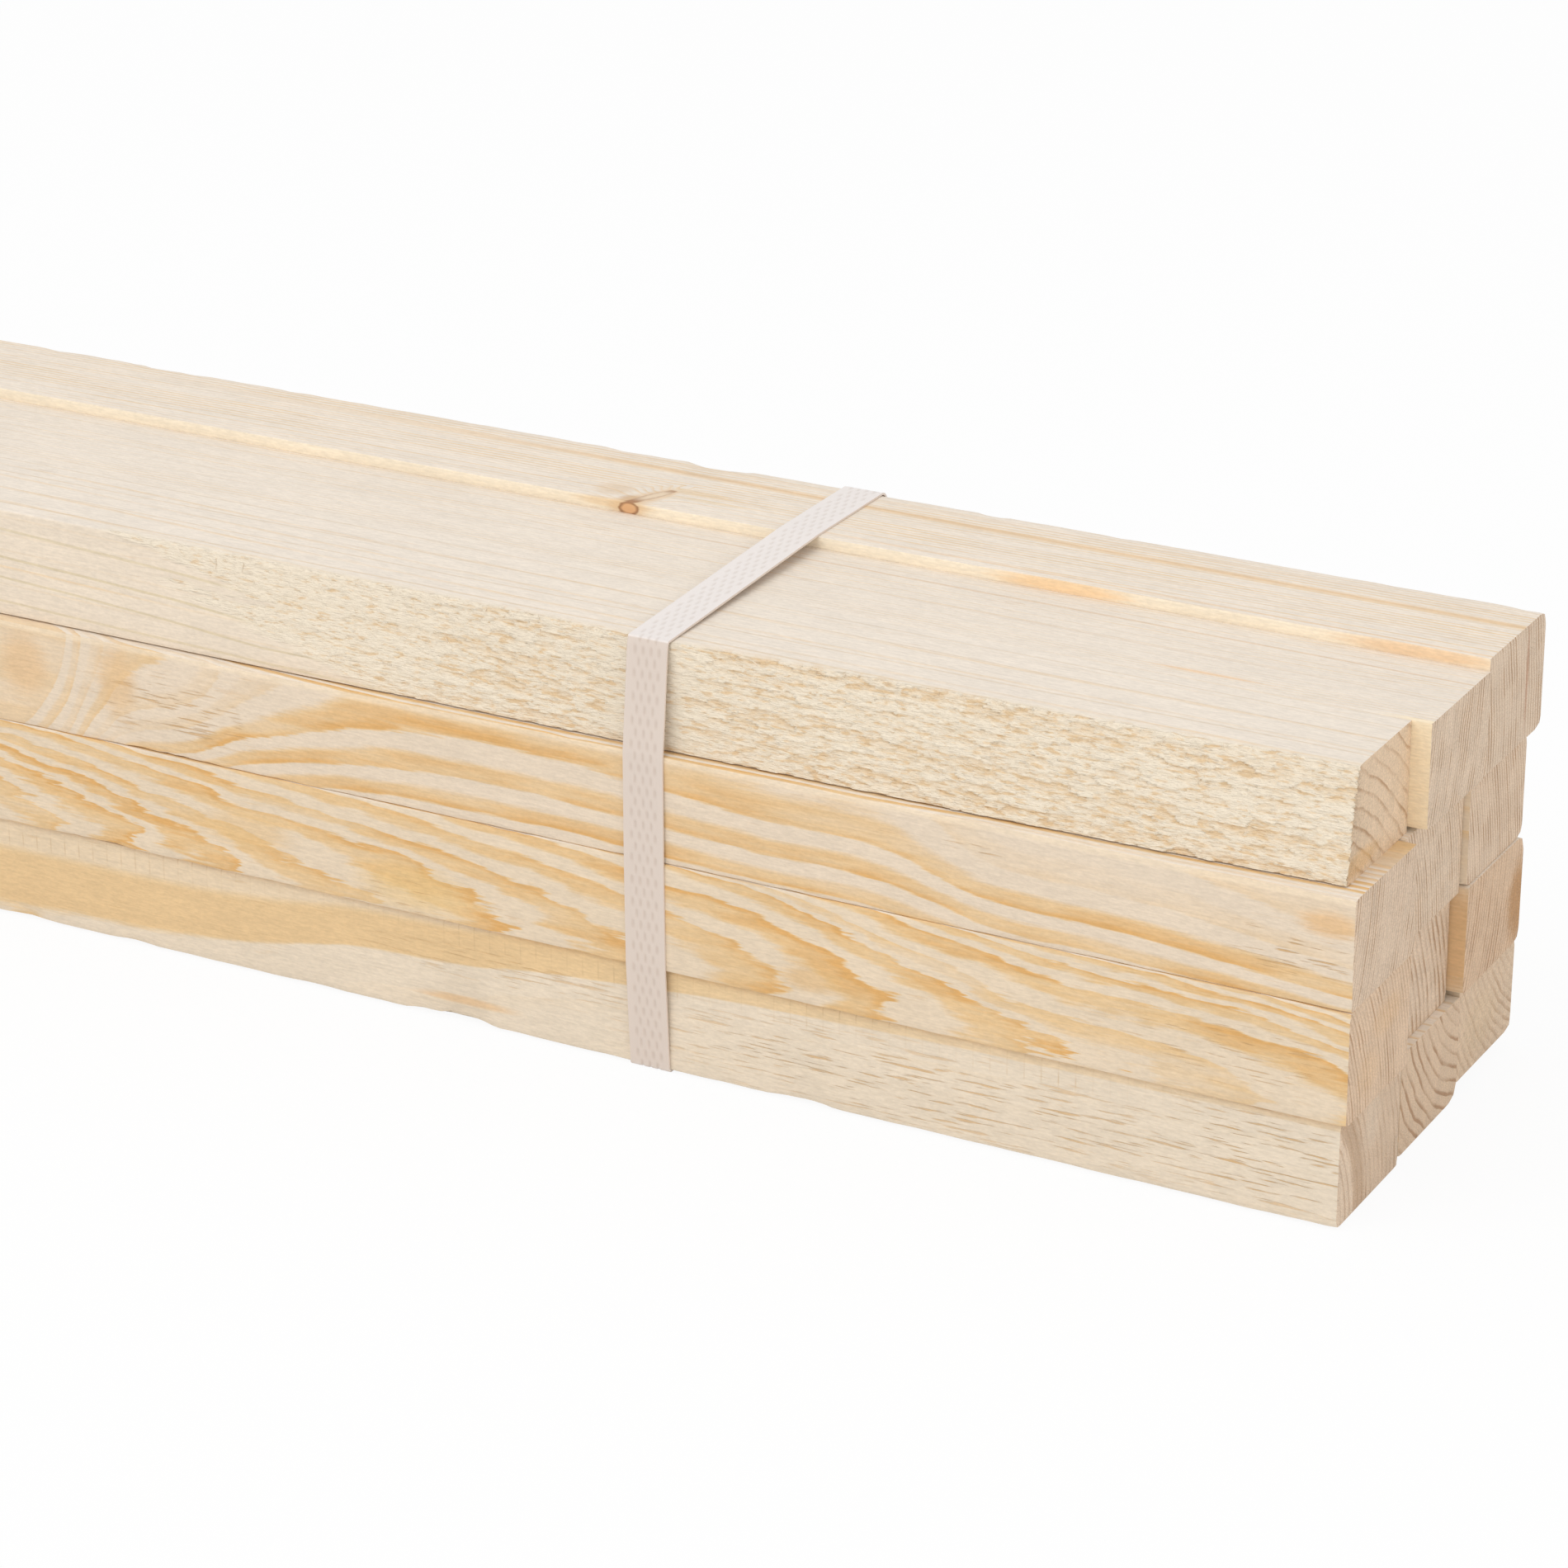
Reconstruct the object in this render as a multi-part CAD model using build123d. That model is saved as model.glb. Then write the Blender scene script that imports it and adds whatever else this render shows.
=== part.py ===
from build123d import *
import math
import os

# A strapped bundle of twelve planed pine studs, three wide and four high.
# The studs run along X. The end seen in the photograph is the +X end, the bundle's
# front face looks towards -Y, and it rests on the undersides of its two straps at z = 0.
# Rows are numbered from the top down and columns from the front back. All sizes in mm.

# Stud stock: planed pine, ripped from wider boards, so only one edge has round arrises
stud_length = 2400.0
stud_width = 50.0
stud_height = 38.0
sawn_arris_radius = 0.8
round_arris_radius = 3.0

# One stud of the lowest row has its lower back arris worn round
worn_stud = (4, 2)
worn_arris_radius = 5.0

# How far each stud's thickness is off the stock's, by row and column
extra_height = (
    (0.0, -1.5, 2.5),
    (0.0, 0.0, -0.5),
    (1.0, 1.0, 0.0),
    (-1.0, -1.0, -2.5),
)

# How the studs lie: each row's front, the gap before each stud, the lift of the lowest
# studs off the straps, and how far each sawn end stands back from the foremost one
row_front = (4.2, 0.0, -0.6, 1.2)
gap_before = (
    (0.0, 1.8, 0.3),
    (0.0, 0.4, 0.4),
    (0.0, 0.4, 0.9),
    (0.0, 4.5, 0.3),
)
lowest_lift = (0.0, 0.0, 4.5)
end_set_back = (
    (6.5, 0.0, 0.5),
    (0.5, 4.9, 2.8),
    (0.5, 7.5, 1.9),
    (3.0, 4.5, 5.0),
)
row_count = len(row_front)
column_count = len(lowest_lift)

# Wane: one stud was cut so near the outside of its log that the log's own round surface
# is left along its front face. It is deepest at the +X end and runs out along the stud,
# because the log thickens that way. The side is in degrees, 0 at +Y and 90 at +Z.
waned_stud = (1, 1)
wane_side = 170.0
wane_depth = 8.6
wane_run_out = 250.0
log_radius = 150.0
log_overrun = 20.0

# Plastic strap, drawn tight round the bundle and heat welded where its ends lap
strap_width = 15.0
strap_thickness = 0.8
strap_from_end = 251.0
lap_length = 40.0
tight_bend_radius = 0.3


def cross_plane(x, y=0.0, z=0.0):
    """A plane across the bundle: its own axes are Y and Z, and it faces +X."""
    return Plane(origin=(x, y, z), x_dir=(0, 1, 0), z_dir=(1, 0, 0))


def thickness(row, column):
    """Height of one stud as it lies. Rows and columns are numbered from 1."""
    return stud_height + extra_height[row - 1][column - 1]


def front(row, column):
    """Y of a stud's front face: the row's front, plus the studs and gaps before it."""
    gaps = sum(gap_before[row - 1][:column])
    return row_front[row - 1] + gaps + (column - 1) * stud_width


def underside(row, column):
    """Z of a stud's underside: it lies on the highest stud that is partly under it."""
    if row == row_count:
        return strap_thickness + lowest_lift[column - 1]
    tops = []
    for lower in range(1, column_count + 1):
        if abs(front(row + 1, lower) - front(row, column)) < stud_width:
            tops.append(underside(row + 1, lower) + thickness(row + 1, lower))
    return max(tops)


def end_x(row, column):
    """X of a stud's sawn end on the +X side, measured from the foremost end."""
    return -end_set_back[row - 1][column - 1]


def middle(row, column):
    """Middle of a stud's section, as (y, z)."""
    return front(row, column) + stud_width / 2, underside(row, column) + thickness(row, column) / 2


def pith():
    """Middle of the waned stud's log, as (y, z)."""
    angle = math.radians(wane_side)
    out_y, out_z = math.cos(angle), math.sin(angle)
    reach = abs(out_y) * stud_width / 2 + abs(out_z) * thickness(*waned_stud) / 2
    y, z = middle(*waned_stud)
    inward = log_radius - (reach - wane_depth)
    return y - out_y * inward, z - out_z * inward


def log_radius_at(from_end):
    """Radius of the waned stud's log at a distance from its +X end."""
    return log_radius + wane_depth * from_end / wane_run_out


def arris_radius(row, column, at_back, at_bottom):
    """Radius of one of a stud's four long arrises."""
    if (row, column) == worn_stud and at_back and at_bottom:
        return worn_arris_radius
    return round_arris_radius if at_back and column == column_count else sawn_arris_radius


def section(row, column):
    """A stud's section: the last column lies with its round arrises to the back."""
    outline = Rectangle(stud_width, thickness(row, column))
    for at_back in (False, True):
        for at_bottom in (False, True):
            corner_y = stud_width / 2 if at_back else -stud_width / 2
            corner_z = -thickness(row, column) / 2 if at_bottom else thickness(row, column) / 2
            corner = outline.vertices().sort_by_distance((corner_y, corner_z))[0]
            outline = fillet(corner, arris_radius(row, column, at_back, at_bottom))
    return outline


def make_stud(row, column):
    """One stud, cut back to the surface of its log where it has wane."""
    start = cross_plane(end_x(row, column), *middle(row, column))
    bar = extrude(start * section(row, column), amount=-stud_length)
    if (row, column) != waned_stud:
        return bar
    trunk = Cone(
        log_radius_at(-log_overrun),
        log_radius_at(stud_length + log_overrun),
        stud_length + 2 * log_overrun,
        align=(Align.CENTER, Align.CENTER, Align.MIN),
    )
    return bar & (Pos(end_x(row, column) + log_overrun, *pith()) * Rot(0, -90, 0) * trunk)


def waned_edges(x):
    """Where the wane meets the top and the front of its stud at one place along it, as (y, z)."""
    pith_y, pith_z = pith()
    radius = log_radius_at(end_x(*waned_stud) - x)
    top = underside(*waned_stud) + thickness(*waned_stud)
    near = front(*waned_stud)
    y_on_top = pith_y - math.sqrt(radius**2 - (top - pith_z) ** 2)
    z_on_front = pith_z + math.sqrt(radius**2 - (pith_y - near) ** 2)
    return [(y_on_top, top), (near, z_on_front)] if y_on_top > near else []


def strap_bends(strap_x):
    """Circles in all the corners of the studs, which a strap is drawn tight round."""
    bends = []
    for row in range(1, row_count + 1):
        for column in range(1, column_count + 1):
            low = underside(row, column)
            high = low + thickness(row, column)
            near = front(row, column)
            far = near + stud_width
            for at_back in (False, True):
                for at_bottom in (False, True):
                    radius = arris_radius(row, column, at_back, at_bottom)
                    y = far - radius if at_back else near + radius
                    z = low + radius if at_bottom else high - radius
                    bends.append((y, z, radius))
    worn = waned_edges(strap_x - strap_width / 2)
    if worn:
        # The first corner listed is the waned stud's front top one: two blunt edges replace it
        inset = tight_bend_radius * math.sin(math.radians(45))
        bends[0] = (worn[0][0] + inset, worn[0][1] - inset, tight_bend_radius)
        bends.append((worn[1][0] + tight_bend_radius, worn[1][1], tight_bend_radius))
    return [(Pos(y, z) * Circle(radius)).edge() for y, z, radius in bends]


def make_strap(strap_x):
    """A tight band round the bundle, with its welded lap on the hidden back."""
    plane = cross_plane(strap_x - strap_width / 2)
    inside = make_hull(strap_bends(strap_x))
    outside = offset(inside, strap_thickness)
    lapped = offset(outside, strap_thickness) - outside
    box = outside.bounding_box()
    window = Pos(box.max.X, box.center().Y) * Rectangle(stud_width, lap_length)
    profile = (outside - inside) + (lapped & window)
    return extrude(plane * profile, amount=strap_width)


pieces = {}
for row in range(1, row_count + 1):
    for column in range(1, column_count + 1):
        pieces[f"stud_row{row}_col{column}"] = make_stud(row, column)

far_end = -stud_length - max(max(row) for row in end_set_back)
pieces["strap_near_end"] = make_strap(-strap_from_end)
pieces["strap_far_end"] = make_strap(far_end + strap_from_end)

# Move the whole bundle so that its origin is the middle of its underside
overall = Compound(children=[Compound(piece.wrapped) for piece in pieces.values()]).bounding_box()
to_origin = Pos(-overall.center().X, -overall.center().Y, -overall.min.Z)

os.makedirs("parts", exist_ok=True)
for name, piece in pieces.items():
    export_step(to_origin * piece, f"parts/{name}.step")
print("overall size", [round(side, 1) for side in overall.size])
print("bundle moved by", [round(side, 2) for side in tuple(to_origin.position)])
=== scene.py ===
# %% [markdown]
# # A strapped bundle of pine studs
# Twelve planed pine studs lie three wide and four high, and two plastic straps hold
# them. The studs run along X, the photographed end is the +X end, and the front of the
# bundle looks towards -Y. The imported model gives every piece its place, so it is loaded
# first, and each thing that is made here goes where that frame says.

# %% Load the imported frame
import math
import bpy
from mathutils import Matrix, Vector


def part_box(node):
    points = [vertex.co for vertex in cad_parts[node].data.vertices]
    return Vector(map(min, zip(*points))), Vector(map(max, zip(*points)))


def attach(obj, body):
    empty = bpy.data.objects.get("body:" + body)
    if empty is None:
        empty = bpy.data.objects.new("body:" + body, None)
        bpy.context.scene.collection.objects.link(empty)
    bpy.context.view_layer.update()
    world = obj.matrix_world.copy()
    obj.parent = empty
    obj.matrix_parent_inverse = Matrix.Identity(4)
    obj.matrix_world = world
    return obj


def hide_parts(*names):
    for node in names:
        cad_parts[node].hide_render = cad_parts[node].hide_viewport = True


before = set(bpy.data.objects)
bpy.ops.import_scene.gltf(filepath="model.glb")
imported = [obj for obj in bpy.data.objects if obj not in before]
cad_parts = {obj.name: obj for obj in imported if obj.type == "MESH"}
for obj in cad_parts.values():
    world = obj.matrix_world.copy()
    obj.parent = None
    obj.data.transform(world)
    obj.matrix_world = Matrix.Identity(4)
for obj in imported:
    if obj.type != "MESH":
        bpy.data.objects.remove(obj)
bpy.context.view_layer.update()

from types import SimpleNamespace
import bmesh
import bpy
import numpy as np
from mathutils import Matrix, Vector

MM = 0.001
ROWS, COLUMNS = 4, 3

# %% [markdown]
# ## The camera
# The photograph looks down on the near end from the front right, about 23 degrees above
# the floor, with a long lens, so the edges hardly converge. The camera's axes are given
# as directions, which is the surest way to repeat a measured view: a camera looks along
# its own -Z, with +X to the right of the picture and +Y up. These values were fitted to
# the studs' edges in the photograph, outside this script.

# %% Set the camera
CAMERA_PLACE = (1.7153, -1.3687, 0.7372)
CAMERA_RIGHT = (0.87723, 0.48004, -0.00584)
CAMERA_FORWARD = (-0.44413, 0.80686, -0.38952)
LENS_MM = 114.18

camera_data = bpy.data.cameras.new("camera")
camera_data.lens = LENS_MM
camera_data.sensor_width = 36.0
camera_data.clip_end = 100.0
camera = bpy.data.objects.new("camera", camera_data)
bpy.context.scene.collection.objects.link(camera)
right = Vector(CAMERA_RIGHT).normalized()
back = -Vector(CAMERA_FORWARD).normalized()
up = back.cross(right)
turned = Matrix((right, up, back)).transposed().to_4x4()
camera.matrix_world = Matrix.Translation(CAMERA_PLACE) @ turned
bpy.context.scene.camera = camera
bpy.context.scene.view_settings.view_transform = "Standard"
print("camera looks down by", round(math.degrees(math.asin(back.z)), 1), "degrees")

# %% [markdown]
# ## Joining shader nodes
# Every finish here is a small net of nodes. A few helpers keep the recipes readable: one
# feeds a number or another node's output into a socket, and each of the others adds one
# sum, one noise or one mix.
# All lengths inside the materials are in millimetres, because grain is thought of in
# millimetres.

# %% Helpers for node recipes
def feed(tree, value, socket):
    """Joins another node's output to a socket, or types a number into it."""
    if isinstance(value, bpy.types.NodeSocket):
        tree.links.new(value, socket)
    else:
        socket.default_value = value


def maths(tree, operation, *values, clamp=False):
    """One sum of numbers."""
    node = tree.nodes.new("ShaderNodeMath")
    node.operation = operation
    node.use_clamp = clamp
    for socket, value in zip(node.inputs, values):
        feed(tree, value, socket)
    return node.outputs[0]


def vectors(tree, operation, *values):
    """One sum of vectors; a length or distance comes out as a number."""
    node = tree.nodes.new("ShaderNodeVectorMath")
    node.operation = operation
    for socket, value in zip(node.inputs, values):
        feed(tree, value, socket)
    as_number = operation in ("DISTANCE", "LENGTH", "DOT_PRODUCT")
    return node.outputs["Value" if as_number else "Vector"]


def between(tree, value, low, high, to_low=0.0, to_high=1.0):
    """Runs smoothly from to_low to to_high while the value goes from low to high."""
    node = tree.nodes.new("ShaderNodeMapRange")
    node.interpolation_type = "SMOOTHSTEP"
    numbers = {"Value": value, "From Min": low, "From Max": high, "To Min": to_low, "To Max": to_high}
    for name, number in numbers.items():
        feed(tree, number, node.inputs[name])
    return node.outputs["Result"]


def times(tree, first, *others):
    """Numbers multiplied together."""
    for other in others:
        first = maths(tree, "MULTIPLY", first, other)
    return first


def mottle(tree, point, sizes, detail=2.0):
    """Noise from 0 to 1 whose blobs are about sizes = (x, y, z) millimetres long."""
    node = tree.nodes.new("ShaderNodeTexNoise")
    node.inputs["Scale"].default_value = 1.0
    node.inputs["Detail"].default_value = detail
    feed(tree, vectors(tree, "DIVIDE", point, sizes), node.inputs["Vector"])
    return node.outputs["Fac"]


def swing(tree, point, sizes, detail=2.0):
    """The same noise about zero, to be added to a length."""
    return maths(tree, "SUBTRACT", mottle(tree, point, sizes, detail), 0.5)


def blot(tree, point, middle, size):
    """How far a point is from a blot's middle, counted in the blot's own sizes."""
    off = vectors(tree, "SUBTRACT", point, middle)
    return vectors(tree, "LENGTH", vectors(tree, "DIVIDE", off, size))


def drawn_curve(tree, value, points):
    """A smooth curve through (in, out) points, level beyond its ends."""
    ins, outs = [p[0] for p in points], [p[1] for p in points]
    low, high = min(outs), max(outs)
    node = tree.nodes.new("ShaderNodeFloatCurve")
    curve = node.mapping.curves[0]
    places = [((i - ins[0]) / (ins[-1] - ins[0]), (o - low) / (high - low)) for i, o in points]
    curve.points[0].location = places[0]
    curve.points[1].location = places[-1]
    for place in places[1:-1]:
        curve.points.new(*place)
    node.mapping.update()
    along = maths(tree, "DIVIDE", maths(tree, "SUBTRACT", value, ins[0]), ins[-1] - ins[0], clamp=True)
    feed(tree, along, node.inputs["Value"])
    return maths(tree, "ADD", maths(tree, "MULTIPLY", node.outputs[0], high - low), low)


def paint(red, green, blue):
    """A colour as a picture gives it, 0 to 255, turned into the light that it stands for."""
    def light(c):
        c = c / 255
        return c / 12.92 if c <= 0.04045 else ((c + 0.055) / 1.055) ** 2.4
    return (light(red), light(green), light(blue), 1.0)


def mix_colours(tree, amount, first, second, blend_type="MIX"):
    """Two colours mixed: none of the second at 0, all of it at 1."""
    node = tree.nodes.new("ShaderNodeMix")
    node.data_type = "RGBA"
    node.blend_type = blend_type
    feed(tree, amount, node.inputs[0])
    feed(tree, first, node.inputs[6])
    feed(tree, second, node.inputs[7])
    return node.outputs[2]


def grey(tree, value):
    """The same number for red, green and blue."""
    node = tree.nodes.new("ShaderNodeCombineColor")
    for channel in node.inputs:
        tree.links.new(value, channel)
    return node.outputs[0]


def shaded(tree, colour, amount):
    """A colour made darker or lighter by a number near 1."""
    return mix_colours(tree, 1.0, colour, grey(tree, amount), "MULTIPLY")


def tinted(tree, amount, colour, tint):
    """A colour multiplied by a tint, by the given amount."""
    return mix_colours(tree, amount, colour, (*tint, 1.0), "MULTIPLY")


def read_mark(tree, label):
    """The number that every vertex was given under that label."""
    node = tree.nodes.new("ShaderNodeAttribute")
    node.attribute_name = label
    return node.outputs["Fac"]


def new_material(name):
    """An empty material with its shader and output, ready for a recipe."""
    material = bpy.data.materials.new(name)
    material.use_nodes = True
    tree = material.node_tree
    tree.nodes.clear()
    shader = tree.nodes.new("ShaderNodeBsdfPrincipled")
    output = tree.nodes.new("ShaderNodeOutputMaterial")
    tree.links.new(shader.outputs[0], output.inputs["Surface"])
    return material, tree, shader


# %% [markdown]
# ## Rough lines and rough sheets
# Wood is never quite even: arrises are chipped, torn faces are made of flakes. All of
# it comes from the same simple thing, random heights that are joined smoothly, along a
# line or over a surface. Every use has its own seed, so the bundle is the same each time.

# %% Helpers for rough shapes
def rough_line(places, step, seed):
    """Heights from -1 to 1 along a line, with a hill or a hollow about every step."""
    heights = np.random.default_rng(seed).uniform(-1.0, 1.0, 2048)
    spot = np.asarray(places) / step + 1000.0
    left = np.floor(spot).astype(int)
    part = spot - left
    part = part * part * (3 - 2 * part)
    return heights[left % 2048] * (1 - part) + heights[(left + 1) % 2048] * part


def flakes(u, v, length, width, seed):
    """Heights from about 0 to 1 of a face torn into flakes, each thickest at its lower edge."""
    random = np.random.default_rng(seed)
    middle = random.uniform(0.1, 0.9, (512, 128, 2))
    lift = random.uniform(0.0, 0.6, (512, 128))
    slope = random.uniform(-0.25, 0.25, (512, 128))
    a, b = u / length + 500.0, v / width + 50.0
    nearest = np.full(a.shape, 9.0)
    height = np.zeros(a.shape)
    for step_a in (-1, 0, 1):
        for step_b in (-1, 0, 1):
            cell_a, cell_b = np.floor(a).astype(int) + step_a, np.floor(b).astype(int) + step_b
            i, j = cell_a % 512, cell_b % 128
            off_a, off_b = a - cell_a - middle[i, j, 0], b - cell_b - middle[i, j, 1]
            reach = np.hypot(off_a, off_b)
            closer = reach < nearest
            nearest = np.where(closer, reach, nearest)
            height = np.where(closer, lift[i, j] + slope[i, j] * off_a - 0.45 * off_b + 0.2, height)
    return height


# %% [markdown]
# ## One way to shape every long piece
# A stud could be a box with bevelled edges, but then every arris would be perfect. Here a
# cylinder is cut into rings in edit mode, and each vertex is then moved to the place that
# is worked out for its ring and its point on the ring. Whatever varies along a stud is a
# line of numbers along the rings, and the ends stay closed.

# %% Helpers for shaping a tube of rings
def select_where(piece, wanted):
    """Goes into edit mode with only the edges selected whose numbers are wanted."""
    # the mode is set first, or the ends of the wanted edges would bring other edges with them
    bpy.context.scene.tool_settings.mesh_select_mode = (False, True, False)
    mesh = piece.data
    for part in (mesh.vertices, mesh.polygons):
        part.foreach_set("select", np.zeros(len(part), bool))
    mesh.edges.foreach_set("select", wanted)
    bpy.ops.object.mode_set(mode="EDIT")


def corners_of(mesh):
    """All the vertices' places as one table."""
    places = np.empty(len(mesh.vertices) * 3)
    mesh.vertices.foreach_get("co", places)
    return places.reshape(-1, 3)


def cut_lengthwise(piece, axis, cuts):
    """Cuts every edge that runs along an axis into equal parts."""
    places = corners_of(piece.data)
    ends = np.empty(len(piece.data.edges) * 2, np.int32)
    piece.data.edges.foreach_get("vertices", ends)
    ends = ends.reshape(-1, 2)
    select_where(piece, np.abs(places[ends[:, 0], axis] - places[ends[:, 1], axis]) > 1e-6)
    bpy.ops.mesh.subdivide(number_cuts=cuts)
    bpy.ops.object.mode_set(mode="OBJECT")


def tube(name, rings, points, passes):
    """A closed tube of rings made from a cylinder, and each vertex's ring and place on it."""
    bpy.ops.object.select_all(action="DESELECT")
    bpy.ops.mesh.primitive_cylinder_add(vertices=points, radius=1.0, depth=1.0)
    piece = bpy.context.active_object
    piece.name = piece.data.name = name
    for pieces in passes:
        cut_lengthwise(piece, 2, pieces - 1)
    places = corners_of(piece.data)
    ring = np.rint((places[:, 2] + 0.5) * (rings - 1)).astype(int)
    turn = np.arctan2(places[:, 1], places[:, 0]) / (2 * np.pi)
    return piece, ring, np.rint(turn * points).astype(int) % points


def put(piece, ring, point, table):
    """Moves every vertex to its place in a table of [ring, point], given in millimetres."""
    piece.data.vertices.foreach_set("co", (table[ring, point] * MM).ravel())
    piece.data.update()


def mark(piece, label, values):
    """Gives every vertex a number that a finish can read by its label."""
    layer = piece.data.attributes.new(label, "FLOAT", "POINT")
    layer.data.foreach_set("value", np.asarray(values, np.float32))


def dress(piece, material):
    """Gives a piece its one finish."""
    piece.data.materials.clear()
    piece.data.materials.append(material)


def close_ends(table, inset=1.5):
    """Draws the first and the last ring in a little, so each end face is flat inside its edge."""
    for last, before in ((0, 1), (-1, -2)):
        middle = table[before].mean(axis=0)
        inward = middle - table[before]
        inward[:, 0] = 0.0
        far = np.linalg.norm(inward, axis=1, keepdims=True)
        table[last] = table[before] + inward / far * inset
        table[last][:, 0] = table[last][:, 0].max() if last == -1 else table[last][:, 0].min()


def finish_piece(piece, node, angle):
    """Smooth shading up to an angle, and the piece's part in the model."""
    bpy.ops.object.select_all(action="DESELECT")
    piece.select_set(True)
    bpy.context.view_layer.objects.active = piece
    bpy.ops.object.shade_smooth_by_angle(angle=math.radians(angle))
    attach(piece, "root")
    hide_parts(node)


def box_of(node):
    """A node's box in millimetres."""
    low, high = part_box(node)
    return np.array(low) / MM, np.array(high) / MM


# %% [markdown]
# ## The planed studs
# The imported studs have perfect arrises, and real ones never do: the plane leaves fibres
# standing, and handling knocks small chips out. Each stud is made again as a tube of
# rings. A ring follows the section, with three points on every arris, and the rings
# are a few millimetres apart. Only the points near an arris move, and only inwards, so
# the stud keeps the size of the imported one.

# %% How the arrises are worn
SAWN_ARRIS, ROUND_ARRIS, WORN_ARRIS, SHARP_ARRIS = 0.8, 3.0, 5.0, 0.3
# the arrises are counted from the lower front one, as (towards y, towards z)
SIDES = ((-1, -1), (1, -1), (1, 1), (-1, 1))
# a point beside each arris follows it a little, so the wear runs out softly
BESIDE_ARRIS, BESIDE_SHARE = 2.2, 0.25
EVEN_WEAR, END_WEAR, CHIP_DEPTH = 0.12, 0.25, 0.9
CHIP_EVERY, CHIP_THRESHOLD, WEAR_STEP, CHIP_GRAIN = 21.0, 0.45, 9.0, 4.2
# wear goes in at an angle, and this much of it along y and along z
SLANT = 0.7
# the joints on top are nearly shut in the photograph: (arrises that touch, how much wider)
TOP_JOINTS = {(1, 2): ((2, 3), 0.25), (1, 3): ((0, 3), 0.0)}
# arrises on the front that aren't like the rest: thin lines at rows 2 and 3, a deep one at row 4
FRONT_ARRISES = {(2, 1): {0: 0.4, 3: 0.5}, (3, 1): {3: 0.4, 0: 0.7}, (4, 1): {3: 1.6}}
# single nicks: (stud, arris): (x, reach, depth) of each
NICKS = {
    ("stud_row4_col1", 0): ((873, 19, 1.9), (742, 9, 1.0), (1010, 12, 0.9)),
    ("stud_row1_col3", 2): ((896, 14, 0.9), (1003, 5, 1.0)),
}

# %% Planed studs
def bar_section(width, height, radii):
    """Points round a section from the lower front arris on, and how much each arris owns them."""
    places, shares = [], []
    for arris, ((side_y, side_z), radius) in enumerate(zip(SIDES, radii)):
        centre_y, centre_z = side_y * (width / 2 - radius), side_z * (height / 2 - radius)
        start = math.atan2(side_z, side_y) - math.radians(45)
        stop = start + math.pi / 2
        row = []
        for k in range(3):
            angle = start + math.radians(45) * k
            row.append((centre_y + radius * math.cos(angle), centre_z + radius * math.sin(angle), 1.0))
        before = (row[0][0] + math.sin(start) * BESIDE_ARRIS, row[0][1] - math.cos(start) * BESIDE_ARRIS)
        after = (row[-1][0] - math.sin(stop) * BESIDE_ARRIS, row[-1][1] + math.cos(stop) * BESIDE_ARRIS)
        row = [(*before, BESIDE_SHARE), *row, (*after, BESIDE_SHARE)]
        for y, z, share in row:
            places.append((y, z))
            owned = [0.0] * 4
            owned[arris] = share
            shares.append(owned)
    return np.array(places), np.array(shares)


def arris_wear(name, arris, seed, x, near_end):
    """How deep an arris is worn at each x: slightly all along, with chips, and more at the ends."""
    even = EVEN_WEAR + EVEN_WEAR * rough_line(x, WEAR_STEP, seed)
    chips = np.clip(rough_line(x, CHIP_EVERY, seed + 4000) - CHIP_THRESHOLD, 0, 1)
    chips = chips * (0.6 + 0.4 * rough_line(x, CHIP_GRAIN, seed + 8000))
    wear = even + CHIP_DEPTH * chips * 1.8 + END_WEAR * np.exp(-near_end / 2.0)
    for middle, reach, depth in NICKS.get((name, arris), ()):
        hollow = np.clip(1 - ((x - middle) / reach) ** 2, 0, 1)
        wear += depth * hollow * (0.8 + 0.35 * rough_line(x, 4.0, seed))
    return wear


def planed_stud(name, radii, seed, passes, touching=(), closer=0.0):
    """One stud in its packed place, worn at its arrises and frayed at its sawn ends."""
    low, high = box_of(name)
    high[1] += closer
    places, shares = bar_section(high[1] - low[1], high[2] - low[2], radii)
    segments = passes[0] * passes[1]
    # the rings stand close together at the ends
    ends = np.array([0.0, 0.0, 0.6, 1.6])
    between_ends = np.linspace(low[0] + 3.0, high[0] - 3.0, segments - 7)
    x = np.concatenate([low[0] + ends, between_ends, high[0] - ends[::-1]])
    table = np.empty((segments + 1, len(places), 3))
    table[:, :, 0] = x[:, None]
    table[:, :, 1:] = places[None] + (low[1:] + high[1:]) / 2
    near_end = np.minimum(x - low[0], high[0] - x)
    for arris, (side_y, side_z) in enumerate(SIDES):
        wear = arris_wear(name, arris, seed * 10 + arris, x, near_end)
        if arris in touching:
            wear *= 0.25
        wear = np.clip(wear, 0.0, None)
        table[:, :, 1] -= side_y * SLANT * wear[:, None] * shares[None, :, arris]
        table[:, :, 2] -= side_z * SLANT * wear[:, None] * shares[None, :, arris]
    # the saw leaves the end's edge a little frayed
    around = np.arange(len(places)) * 7.0
    for edge, inward in ((1, 1.0), (-2, -1.0)):
        table[edge, :, 0] += inward * (0.15 + 0.15 * rough_line(around, 5.0, seed + 77))
    close_ends(table)
    piece, ring, point = tube("visual_" + name, segments + 1, len(places), passes)
    put(piece, ring, point, table)
    finish_piece(piece, name, 40)
    return piece


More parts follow.
